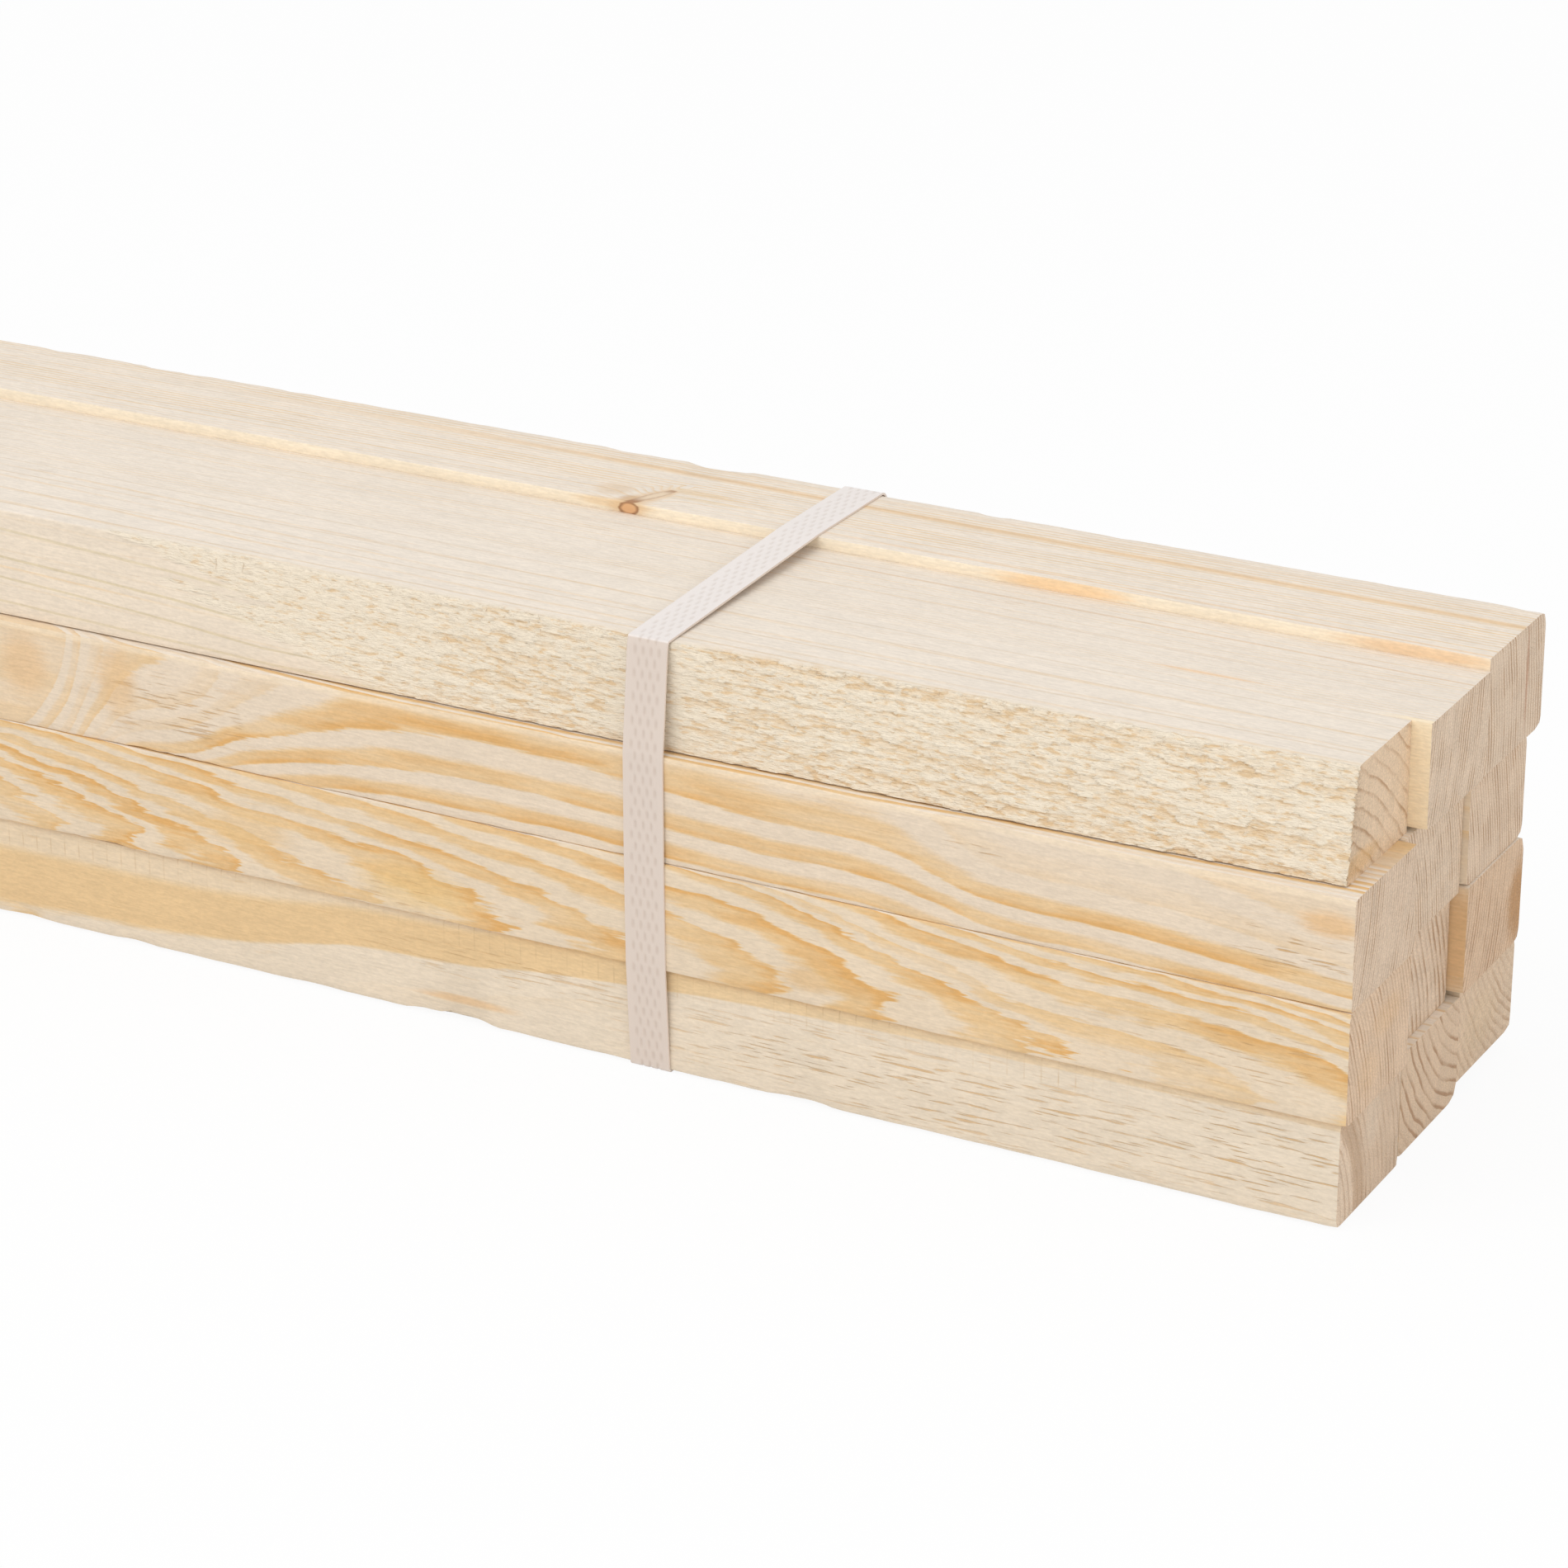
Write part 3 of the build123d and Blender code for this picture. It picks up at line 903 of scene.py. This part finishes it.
STAINS = {
    "stud_row1_col2": (((1125, -16, 152), (28, 1.6, 4), (240, 202, 160), 0.7),
                       # painted light: the second blot makes the sliver of front face beyond the next stud's
                       # end paler, as if lit from the front
                       ((1201, -22, 136), (20, 4, 40), (250, 230, 194), 0.85)),
    "stud_row1_col1": (((1192, -67.5, 152), (16, 1.3, 2), (246, 196, 138), 0.9),),
    "stud_row1_col3": (
        ((1052, 28, 155), (34, 1.2, 4), (253, 216, 168), 0.85),
        ((1180, 28, 155), (40, 1.2, 4), (244, 207, 164), 0.8),
        ((880, 28.5, 155.5), (22, 1.5, 2.6), (236, 200, 150), 0.6),
        ((874, 38, 156.8), (10, 8, 1.5), (224, 196, 162), 0.55),
        ((903, 47, 156.8), (20, 3.5, 1.5), (230, 200, 156), 0.55),
        ((912, 41, 156.8), (24, 1.6, 1.5), (230, 206, 168), 0.5),
        ((885, 31.5, 156.8), (6, 4.5, 2), (188, 146, 106), 0.6),
    ),
    "stud_row2_col1": (
        ((1195, -78, 105), (14, 6, 6), (233, 190, 136), 0.75),
        ((702, -78, 100), (13, 5, 15), (228, 192, 146), 0.75),
        ((741, -78, 101), (11, 5, 17), (229, 191, 140), 0.7),
    ),
    "stud_row3_col3": (
        # the first blot, on the front face beside the end, is partly the wood's honey colour and partly
        # painted shade of that face
        ((1200, 22, 60), (60, 2.5, 30), (225, 186, 138), 0.95),
        ((1202, 72, 62), (3, 7, 16), (196, 156, 112), 0.6),
    ),
    "stud_row4_col1": (((880, -77, 8.5), (26, 3, 2.2), (232, 186, 128), 0.6),),
    "stud_row3_col1": (
        ((1203, -50, 55), (4, 7, 16), (206, 160, 120), 0.5),
        ((862, -78.8, 47), (30, 6, 12), (233, 200, 142), 0.6),
        ((792, -78.8, 55), (26, 6, 9), (230, 192, 134), 0.5),
        ((1015, -78.8, 47), (16, 6, 6), (226, 184, 122), 0.6),
    ),
}
# places where the plane tore the grain a little: middle, size, strength
ROUGH = {
    "stud_row2_col1": (
        ((765, -78, 94), (48, 6, 16), 0.9),
        ((1071, -78, 105), (14, 6, 4), 1.0),
        ((1184, -78, 93), (28, 6, 13), 1.0),
    ),
    "stud_row3_col1": (((858, -78, 44), (24, 6, 10), 0.6), ((1165, -78, 55), (60, 6, 16), 0.7)),
    "stud_row4_col1": (
        ((1176, -77, 20), (62, 6, 24), 1.0),
        ((1060, -77, 16), (150, 6, 20), 0.85),
        ((900, -77, 24), (80, 6, 10), 0.6),
    ),
}
# stains on the sawn ends: middle (y, z), size, shade, strength
END_STAINS = {
    "stud_row3_col3": (((70, 56), (13, 19), (184, 142, 92), 0.85),),
    "stud_row3_col1": (
        ((-48, 64), (16, 8), (220, 184, 138), 0.3), ((-62, 50), (12, 10), (216, 184, 144), 0.3),
    ),
    "stud_row1_col3": (((62.5, 139), (1.3, 24), (186, 142, 112), 0.8),),
    "stud_row4_col1": (((-50, 28), (9, 13), (222, 204, 182), 0.35),),
    "stud_row4_col3": (((48, 20), (20, 14), (216, 192, 160), 0.4),),
    "stud_row1_col1": (
        ((-62, 120), (22, 5), (216, 178, 128), 0.6), ((-70, 140), (4, 16), (224, 192, 146), 0.5),
    ),
}
# faint marks that the planer's knives left at an even pitch, on one stud
TICK_STUD, TICK_PITCH = "stud_row4_col1", 6.1
# the knot: where its branch starts, which way it runs, and its size in millimetres
KNOT_STUD, KNOT_FROM, KNOT_WAY = "stud_row1_col3", (885.8, 28.0, 154.5), (0.28, 1.0, 0.16)
KNOT_RADIUS, KNOT_TAPER, KNOT_LENGTH, KNOT_SQUASH = 2.3, 0.075, 19.5, 0.62

# %% [markdown]
# ## Reading a stud's finish out of its tree
# Every point of a stud knows where it lies in millimetres. From that come its distance from
# the pith, the year in which it grew, and how dark that part of the year is. The waves, curls
# and ragged edges of real grain are small noises added to the distance, so a dark line stays
# in step with its neighbours. The values that a point reads once are kept together as wood.

# %% The colours of planed and sawn pine
# the paler cream of the tops is a painted sheen, for the light that the upward faces catch
CREAM, CREAM_WITH_SHEEN_ABOVE = paint(231, 212, 186), paint(237, 225, 210)
HONEY, AMBER = paint(230, 197, 149), paint(223, 173, 106)
SAWN_PALE, SAWN_DARK, SAWN_HEART = paint(221, 198, 173), paint(180, 146, 114), paint(176, 143, 110)
# the torn face's deep colour is a painted warm shade for its pits
TORN_PALE, TORN_PIT_SHADE = paint(250, 236, 213), paint(236, 204, 160)
CHECK_BROWN, TICK_BROWN = paint(214, 172, 118), paint(206, 172, 126)
KNOT_HALO, KNOT_WOOD = paint(224, 186, 138), paint(230, 208, 180)
KNOT_EYE, KNOT_BARK = paint(228, 176, 126), paint(160, 112, 74)
NO_TINT = (1.0, 1.0, 1.0)

# %% The years of a tree
def year_number(tree, radius, stud):
    """Which year grew at that distance from the pith, counted from the first one listed."""
    if "years" not in stud:
        return maths(tree, "DIVIDE", radius, stud["width"])
    years = stud["years"]
    return drawn_curve(tree, radius, [(r, k) for k, (r, _) in enumerate(years)])


def dark_wood(tree, number, late):
    """Within a year the wood darkens, then darkens again, and stops at a sharp edge."""
    within = maths(tree, "FRACT", number)
    slow = between(tree, within, late, late + 0.28, 0.0, 0.72)
    quick = between(tree, within, 0.68, 0.9, 0.0, 0.28)
    stop = between(tree, within, 0.9, 1.0, 1.0, 0.0)
    return maths(tree, "MULTIPLY", maths(tree, "ADD", slow, quick), stop)


def each_year(tree, number, seed, low, high):
    """A number of its own for every year."""
    chance = tree.nodes.new("ShaderNodeTexWhiteNoise")
    chance.noise_dimensions = "1D"
    feed(tree, maths(tree, "ADD", maths(tree, "FLOOR", number), float(seed)), chance.inputs["W"])
    return between(tree, chance.outputs["Value"], 0.0, 1.0, low, high)


def rings_round(tree, across, pith):
    """Distance from a pith, which runs along X."""
    return vectors(tree, "DISTANCE", across, (0.0, *pith))


# %% Where a point lies, and which way its face looks
def lie_of(tree, seed):
    """Place in millimetres, a place of its own for each stud's noise, and the face's direction."""
    wood = SimpleNamespace()
    coordinates = tree.nodes.new("ShaderNodeTexCoord")
    wood.point = vectors(tree, "SCALE", coordinates.outputs["Object"])
    wood.point.node.inputs["Scale"].default_value = 1 / MM
    split = tree.nodes.new("ShaderNodeSeparateXYZ")
    tree.links.new(wood.point, split.inputs[0])
    wood.x, wood.y, wood.z = split.outputs
    wood.spot = vectors(tree, "ADD", wood.point, (seed * 517.0, seed * 71.0, seed * 43.0))
    way = tree.nodes.new("ShaderNodeSeparateXYZ")
    tree.links.new(coordinates.outputs["Normal"], way.inputs[0])
    wood.upward = between(tree, way.outputs["Z"], 0.5, 0.95)
    wood.frontward = between(tree, maths(tree, "MULTIPLY", way.outputs["Y"], -1.0), 0.5, 0.9)
    wood.sawn = between(tree, maths(tree, "ABSOLUTE", way.outputs["X"]), 0.75, 0.9)
    across = tree.nodes.new("ShaderNodeCombineXYZ")
    tree.links.new(wood.y, across.inputs["Y"])
    tree.links.new(wood.z, across.inputs["Z"])
    wood.across = across.outputs[0]
    return wood


# %% [markdown]
# ## The knot
# A knot is the foot of a branch. A planed face cuts it slantwise, as a long pale spike with
# a warm eye at its thick end and a thin line of dark bark round it. Here it is a slim cone
# in the solid wood, and the years are pushed aside round it, as a trunk grows past a branch.

# %% The knot, and the distance from the pith
def place_knot(tree, wood):
    """How far a point is along the knot, and off its middle in the knot's own radii."""
    way = tuple(Vector(KNOT_WAY).normalized())
    from_start = vectors(tree, "SUBTRACT", wood.point, KNOT_FROM)
    from_start = vectors(tree, "MULTIPLY", from_start, (KNOT_SQUASH, 1.0, 1.0))
    wood.along = vectors(tree, "DOT_PRODUCT", from_start, way)
    off = vectors(tree, "LENGTH", vectors(tree, "CROSS_PRODUCT", from_start, way))
    knot_size = maths(tree, "SUBTRACT", KNOT_RADIUS, maths(tree, "MULTIPLY", wood.along, KNOT_TAPER))
    wood.knot = maths(tree, "DIVIDE", off, knot_size)


def grown_radius(tree, wood, name, stud):
    """Distance from the pith, with the trunk's swelling and the small waves of real grain."""
    radius = rings_round(tree, wood.across, stud["pith"])
    wood.waves = swing(tree, wood.spot, (45.0, 9.0, 9.0), 3.0)
    wood.ragged = swing(tree, wood.spot, (13.0, 0.8, 0.8), 3.0)
    if "swell" in stud:
        parts = [drawn_curve(tree, wood.x, stud["swell"])]
    else:
        parts = [times(tree, swing(tree, wood.spot, (420.0, 90.0, 90.0)), 9.0)]
    parts.append(times(tree, wood.waves, stud["wander"] * 2))
    if "curl" in stud:
        parts.append(times(tree, swing(tree, wood.spot, (24.0, 5.0, 5.0)), stud["curl"]))
    parts.append(times(tree, wood.ragged, stud["wander"] * 1.6))
    if name == KNOT_STUD:
        # a knot pushes the years aside
        place_knot(tree, wood)
        parts.append(between(tree, wood.knot, 0.8, 6.0, 4.0, 0.0))
    for part in parts:
        radius = maths(tree, "ADD", radius, part)
    return radius


# %% How dark the wood is
def autumn_wood(tree, wood, radius, stud, seed):
    """Dark autumn wood, from 0 to 1, and the heartwood's band where a stud has one."""
    number = maths(tree, "ADD", year_number(tree, radius, stud), 0.8)
    autumn = dark_wood(tree, number, stud["late"])
    if "years" in stud:
        strengths = [(k, s) for k, (_, s) in enumerate(stud["years"])]
        year_strength = drawn_curve(tree, maths(tree, "FLOOR", number), strengths)
    else:
        year_strength = each_year(tree, number, seed, 0.35, 1.0)
    patches = mottle(tree, wood.spot, (60.0, 7.0, 7.0), 3.0)
    autumn = times(tree, autumn, year_strength, between(tree, patches, 0.3, 0.65, 0.6, 1.15))
    autumn = maths(tree, "MULTIPLY", autumn, stud["strength"], clamp=True)
    if "heart" in stud:
        inner, outer = stud["heart"]
        begins = between(tree, radius, inner - 0.35, inner + 0.35)
        wood.heartwood = times(tree, begins, between(tree, radius, outer - 1.4, outer + 1.4, 1.0, 0.42))
        band = times(tree, wood.heartwood, between(tree, wood.x, 860.0, 1150.0, 0.64, 0.3))
        autumn = maths(tree, "MAXIMUM", autumn, band)
    return autumn


# %% Lines, stains, small checks and planer ticks
def with_lines_and_stains(tree, wood, name, colour):
    """The streaks and blots that one stud shows, laid over its colour."""
    facing = {"top": (wood.upward, wood.y), "front": (wood.frontward, wood.z)}
    wobble = times(tree, swing(tree, wood.spot, (60.0, 20.0, 20.0)), 1.6)
    for face, course, width, shade, strength, fade in LINES.get(name, ()):
        seen, height = facing[face]
        middle = maths(tree, "ADD", drawn_curve(tree, wood.x, course), wobble)
        gap = maths(tree, "ABSOLUTE", maths(tree, "SUBTRACT", height, middle))
        amount = between(tree, gap, width * 0.25, width * 0.75, strength, 0.0)
        amount = times(tree, amount, seen, between(tree, wood.x, *fade))
        colour = mix_colours(tree, amount, colour, paint(*shade))
    for middle, size, shade, strength in STAINS.get(name, ()):
        far = blot(tree, wood.point, middle, size)
        far = maths(tree, "ADD", far, times(tree, wood.ragged, 0.5))
        colour = mix_colours(tree, between(tree, far, 0.35, 1.0, strength, 0.0), colour, paint(*shade))
    return colour


def small_checks(tree, wood, name):
    """Short open checks, from 0 to 1, where the plane tore the grain a little."""
    torn_out = between(tree, mottle(tree, wood.spot, (26.0, 6.0, 6.0)), 0.55, 0.75, 0.0, 0.35)
    for middle, size, strength in ROUGH.get(name, ()):
        far = blot(tree, wood.point, middle, size)
        torn_out = maths(tree, "MAXIMUM", torn_out, between(tree, far, 0.3, 1.1, strength, 0.0))
    checks = between(tree, mottle(tree, wood.spot, (15.0, 0.85, 0.85)), 0.58, 0.68)
    return times(tree, checks, torn_out)


def planer_ticks(tree, wood):
    """Faint marks at an even pitch, in a strip high on the front face."""
    tick = maths(tree, "FRACT", maths(tree, "DIVIDE", wood.x, TICK_PITCH))
    tick = times(tree, between(tree, tick, 0.86, 0.93), between(tree, tick, 0.93, 1.0, 1.0, 0.0))
    zone = times(tree, between(tree, wood.z, 27.0, 30.0), between(tree, wood.x, 1100.0, 1180.0, 1.0, 0.0))
    uneven = between(tree, wood.waves, -0.1, 0.15, 0.1, 0.6)
    return times(tree, tick, zone, uneven, wood.frontward)


# %% The knot's own colours
def with_knot(tree, wood, colour):
    """A pale branch with a thin line of bark round it, and a warm halo in the wood beside it."""
    along = wood.along
    ends = between(tree, along, KNOT_LENGTH - 1.5, KNOT_LENGTH, 1.0, 0.0)
    within = times(tree, between(tree, along, -3.0, -2.0), ends)
    knot = maths(tree, "ADD", wood.knot, times(tree, wood.ragged, 0.35))
    halo = times(tree, between(tree, knot, 1.0, 2.6, 0.6, 0.0), within)
    colour = mix_colours(tree, halo, colour, KNOT_HALO)
    core = times(tree, between(tree, knot, 0.95, 1.2, 0.9, 0.0), within)
    # the line of bark is darkest at the eye and at the tip
    rim = times(tree, between(tree, knot, 0.6, 0.95), between(tree, along, 2.0, 6.0, 1.0, 0.45))
    rim = maths(tree, "MAXIMUM", rim, between(tree, along, 14.0, 18.5, 0.0, 0.8))
    inside = mix_colours(tree, between(tree, along, 1.0, 4.0, 1.0, 0.0), KNOT_WOOD, KNOT_EYE)
    return mix_colours(tree, core, colour, mix_colours(tree, rim, inside, KNOT_BARK))


# %% [markdown]
# ## The sawn ends
# The saw cuts across the fibres, so an end is duller than a planed face, and its years are
# arcs round the pith. They are read in the same way, with a pith and a year's width of their
# own where the photograph shows them otherwise. Open pores make an end rough and darker.

# %% The sawn ends
def sawn_end(tree, wood, name, stud, seed):
    """Duller wood with the years, open pores, stains and the faint marks of the saw."""
    pith, width, strength = stud["end"]
    bend = times(tree, swing(tree, wood.spot, (40.0, 14.0, 14.0)), width * 0.8)
    number = maths(tree, "DIVIDE", maths(tree, "ADD", rings_round(tree, wood.across, pith), bend), width)
    autumn = dark_wood(tree, number, stud.get("end_late", 0.4))
    autumn = times(tree, autumn, each_year(tree, number, seed + 50, 0.4, 1.0))
    clearer = between(tree, mottle(tree, wood.spot, (60.0, 12.0, 12.0)), 0.35, 0.65, 0.7, 2.1)
    autumn = maths(tree, "MULTIPLY", autumn, times(tree, clearer, strength), clamp=True)
    colour = mix_colours(tree, autumn, SAWN_PALE, SAWN_DARK)
    if "heart" in stud:
        colour = mix_colours(tree, times(tree, wood.heartwood, 0.6), colour, SAWN_HEART)
    for middle, size, shade, stain in END_STAINS.get(name, ()):
        far = blot(tree, wood.across, (0.0, *middle), (1.0, *size))
        far = maths(tree, "ADD", far, times(tree, wood.ragged, 0.6))
        colour = mix_colours(tree, between(tree, far, 0.4, 1.0, stain, 0.0), colour, paint(*shade))
    wood.pores = mottle(tree, wood.spot, (9.0, 0.55, 0.55))
    clouds = mottle(tree, wood.spot, (60.0, 9.0, 9.0))
    saw_marks = mottle(tree, wood.spot, (60.0, 0.9, 14.0))
    shade = times(
        tree, between(tree, wood.pores, 0.25, 0.75, 0.85, 1.12),
        between(tree, clouds, 0.3, 0.7, 0.96, 1.03), between(tree, saw_marks, 0.3, 0.7, 0.96, 1.03),
    )
    return tinted(tree, 1.0, shaded(tree, colour, shade), stud.get("end_tint", NO_TINT))


# %% [markdown]
# ## The torn face and the fine relief
# The torn flakes are real shapes, so their finish only has to be pale on top, with a painted warm shade in
# the pits.
# The two numbers marked on the stud's vertices say how far it is torn and how
# deep. What is finer than the rings, such as fibres and fuzz, is left to a bump.

# %% The torn face, and the fine relief
def with_torn_face(tree, wood, colour):
    """Pale flakes, with a painted warm shade deep between them and in small flecks."""
    wood.torn = read_mark(tree, "torn")
    flecks = mottle(tree, wood.spot, (5.5, 1.2, 1.2), 3.0)
    pit = maths(tree, "ADD", read_mark(tree, "pit"), between(tree, flecks, 0.5, 0.68, 0.0, 0.5), clamp=True)
    # painted warm shade, deeper in the pits and flecks
    torn_colour = mix_colours(tree, between(tree, pit, 0.25, 1.0), TORN_PALE, TORN_PIT_SHADE)
    amount = times(tree, wood.torn, maths(tree, "SUBTRACT", 1.0, wood.sawn), 0.9)
    return mix_colours(tree, amount, colour, torn_colour)


def relief_of(tree, wood, stud, torn):
    """Heights in millimetres: planed fibres with a little fuzz, open checks and rough ends."""
    fibres = times(tree, mottle(tree, wood.spot, (16.0, 0.5, 0.5)), 0.07)
    fuzz = times(tree, mottle(tree, wood.spot, (1.8, 0.7, 0.7)), 0.10 + 0.12 * stud.get("fuzz", 0.0))
    relief = maths(tree, "SUBTRACT", maths(tree, "ADD", fibres, fuzz), times(tree, wood.checks, 0.2))
    relief = maths(tree, "ADD", relief, times(tree, wood.sawn, wood.pores, 0.5))
    if torn:
        splinters = mottle(tree, wood.spot, (3.5, 0.5, 0.5), 3.0)
        relief = maths(tree, "ADD", relief, times(tree, wood.torn, splinters, 0.9))
    return relief


# %% [markdown]
# ## All of it together
# The colour is built up in the order of real life: the wood as it grew, then what happened
# to it, the plane's marks and the faint streaks, and last the cuts across it.

# %% The whole finish of one stud
def pine(name, stud, seed, torn=False):
    """The finish of one stud, read off the tree that it was cut from."""
    material, tree, shader = new_material("pine_" + name)
    wood = lie_of(tree, seed)
    radius = grown_radius(tree, wood, name, stud)
    autumn = autumn_wood(tree, wood, radius, stud, seed)

    # the planed faces, with a painted sheen that makes their tops paler, and all that marks this stud
    colour = mix_colours(tree, wood.upward, CREAM, CREAM_WITH_SHEEN_ABOVE)
    colour = mix_colours(tree, between(tree, autumn, 0.0, 0.6), colour, HONEY)
    colour = mix_colours(tree, between(tree, autumn, 0.5, 1.05), colour, AMBER)
    colour = with_lines_and_stains(tree, wood, name, colour)
    wood.checks = small_checks(tree, wood, name)
    colour = mix_colours(tree, times(tree, wood.checks, 0.9), colour, CHECK_BROWN)
    flecks = between(tree, mottle(tree, wood.spot, (4.5, 0.9, 0.9), 3.0), 0.3, 0.7, 0.95, 1.04)
    speckle = between(tree, mottle(tree, wood.spot, (1.6, 0.7, 0.7), 1.0), 0.3, 0.7, 0.97, 1.025)
    colour = shaded(tree, colour, times(tree, flecks, speckle))
    if name == TICK_STUD:
        colour = mix_colours(tree, planer_ticks(tree, wood), colour, TICK_BROWN)
    # each stud's own front tint; on the torn stud it is painted light that makes its front paler
    colour = tinted(tree, wood.frontward, colour, stud.get("tint", NO_TINT))
    streaks = between(tree, mottle(tree, wood.spot, (60.0, 0.6, 0.6)), 0.25, 0.75, 0.965, 1.02)
    blots = between(tree, mottle(tree, wood.spot, (34.0, 9.0, 9.0), 3.0), 0.3, 0.7, 0.975, 1.015)
    colour = shaded(tree, colour, times(tree, streaks, blots))
    if name == KNOT_STUD:
        colour = with_knot(tree, wood, colour)

    colour = mix_colours(tree, wood.sawn, colour, sawn_end(tree, wood, name, stud, seed))
    if torn:
        colour = with_torn_face(tree, wood, colour)
    tree.links.new(colour, shader.inputs["Base Color"])
    shader.inputs["Roughness"].default_value = 0.62
    shader.inputs["Specular IOR Level"].default_value = 0.4
    bump = tree.nodes.new("ShaderNodeBump")
    bump.inputs["Distance"].default_value = MM
    feed(tree, relief_of(tree, wood, stud, torn), bump.inputs["Height"])
    tree.links.new(bump.outputs[0], shader.inputs["Normal"])
    return material


# %% Give every stud its finish
for seed, (name, stud) in enumerate(STUDS.items(), start=1):
    dress(studs[name], pine(name, stud, seed, torn=name == "stud_row1_col1"))
print("finished", len(STUDS), "studs")

# %% [markdown]
# ## The tape's finish
# Milky polypropylene: nearly white, a little warm, and thin enough that the gaps between
# the studs show through faintly.

# %% Finish of the tape
def milky_tape():
    """Warm white tape, a shade darker in its dimples, and with painted light: paler on top, darker on the
    front.
    """
    material, tree, shader = new_material("milky_tape")
    # the wood's warmth shows through, most on the front, and the tops are painted paler and the front painted
    # darker, for the light from above
    coordinates = tree.nodes.new("ShaderNodeTexCoord")
    way = tree.nodes.new("ShaderNodeSeparateXYZ")
    tree.links.new(coordinates.outputs["Normal"], way.inputs[0])
    upward = between(tree, way.outputs["Z"], 0.3, 0.9)
    plain = mix_colours(tree, upward, paint(230, 215, 203), paint(244, 236, 231))
    pressed = mix_colours(tree, upward, paint(220, 203, 190), paint(233, 223, 216))
    colour = mix_colours(tree, read_mark(tree, "dimple"), plain, pressed)
    tree.links.new(colour, shader.inputs["Base Color"])
    shader.inputs["Roughness"].default_value = 0.3
    shader.inputs["Alpha"].default_value = 0.9
    return material


tape = milky_tape()
for strap in straps.values():
    dress(strap, tape)
print("finished", len(straps), "straps")

# %% [markdown]
# ## The floor and the light
# The photograph stands on white with no horizon. The floor is a plain pale sheet that
# shows white to the camera but keeps some of the shadow under the bundle.

# %% Helpers for a white room
def seen_directly(tree):
    """1 for what the camera sees, also by gloss or through glass, and 0 for other light."""
    rays = tree.nodes.new("ShaderNodeLightPath")
    seen = maths(tree, "MAXIMUM", rays.outputs["Is Camera Ray"], rays.outputs["Is Glossy Ray"])
    return maths(tree, "MAXIMUM", seen, rays.outputs["Is Transmission Ray"])


def mix_shaders(tree, amount, first, second):
    """Two shaders mixed: none of the second at 0, all of it at 1."""
    node = tree.nodes.new("ShaderNodeMixShader")
    for socket, value in zip(node.inputs, (amount, first, second)):
        feed(tree, value, socket)
    return node.outputs[0]


# %% Floor
bpy.ops.object.select_all(action="DESELECT")
bpy.ops.mesh.primitive_plane_add(size=12.0, location=(0.0, 0.0, 0.0))
floor = bpy.context.active_object
floor.name = "floor"
floor_material, floor_tree, floor_shader = new_material("pale_floor")
floor_shader.inputs["Base Color"].default_value = (0.9, 0.9, 0.9, 1.0)
floor_shader.inputs["Roughness"].default_value = 0.9
glow = floor_tree.nodes.new("ShaderNodeEmission")
glow.inputs["Strength"].default_value = 1.0
shine = maths(floor_tree, "MULTIPLY", seen_directly(floor_tree), 0.92)
mixed = mix_shaders(floor_tree, shine, floor_shader.outputs[0], glow.outputs[0])
floor_output = next(n for n in floor_tree.nodes if n.type == "OUTPUT_MATERIAL")
floor_tree.links.new(mixed, floor_output.inputs["Surface"])
dress(floor, floor_material)
print("floor is", round(floor.dimensions.x, 1), "m wide")

# %% [markdown]
# ## The light
# A white room lights everything evenly, and two soft lamps give the shapes their shade: a
# large one above and in front, and a small one that looks at the sawn ends.

# %% Light
WORLD_STRENGTH = 0.765
world = bpy.data.worlds.new("white_room")
bpy.context.scene.world = world
world.use_nodes = True
sky = world.node_tree
sky.nodes.clear()
whites = []
for strength in (WORLD_STRENGTH, 1.0):
    white = sky.nodes.new("ShaderNodeBackground")
    white.inputs["Color"].default_value = (1.0, 1.0, 1.0, 1.0)
    white.inputs["Strength"].default_value = strength
    whites.append(white.outputs[0])
sky_output = sky.nodes.new("ShaderNodeOutputWorld")
sky.links.new(mix_shaders(sky, seen_directly(sky), *whites), sky_output.inputs["Surface"])


def softbox(name, place, aim, size, power):
    """A large square lamp at a place, turned towards a point."""
    data = bpy.data.lights.new(name, "AREA")
    data.size = size
    data.energy = power
    lamp = bpy.data.objects.new(name, data)
    bpy.context.scene.collection.objects.link(lamp)
    turned = (Vector(place) - Vector(aim)).to_track_quat("Z", "Y").to_matrix().to_4x4()
    lamp.matrix_world = Matrix.Translation(place) @ turned
    return lamp


softbox("softbox_above", (0.2, -1.6, 2.6), (0.8, 0.0, 0.1), 2.2, 27.0)
softbox("softbox_end", (3.2, -0.6, 0.8), (1.2, 0.0, 0.08), 1.2, 9.0)
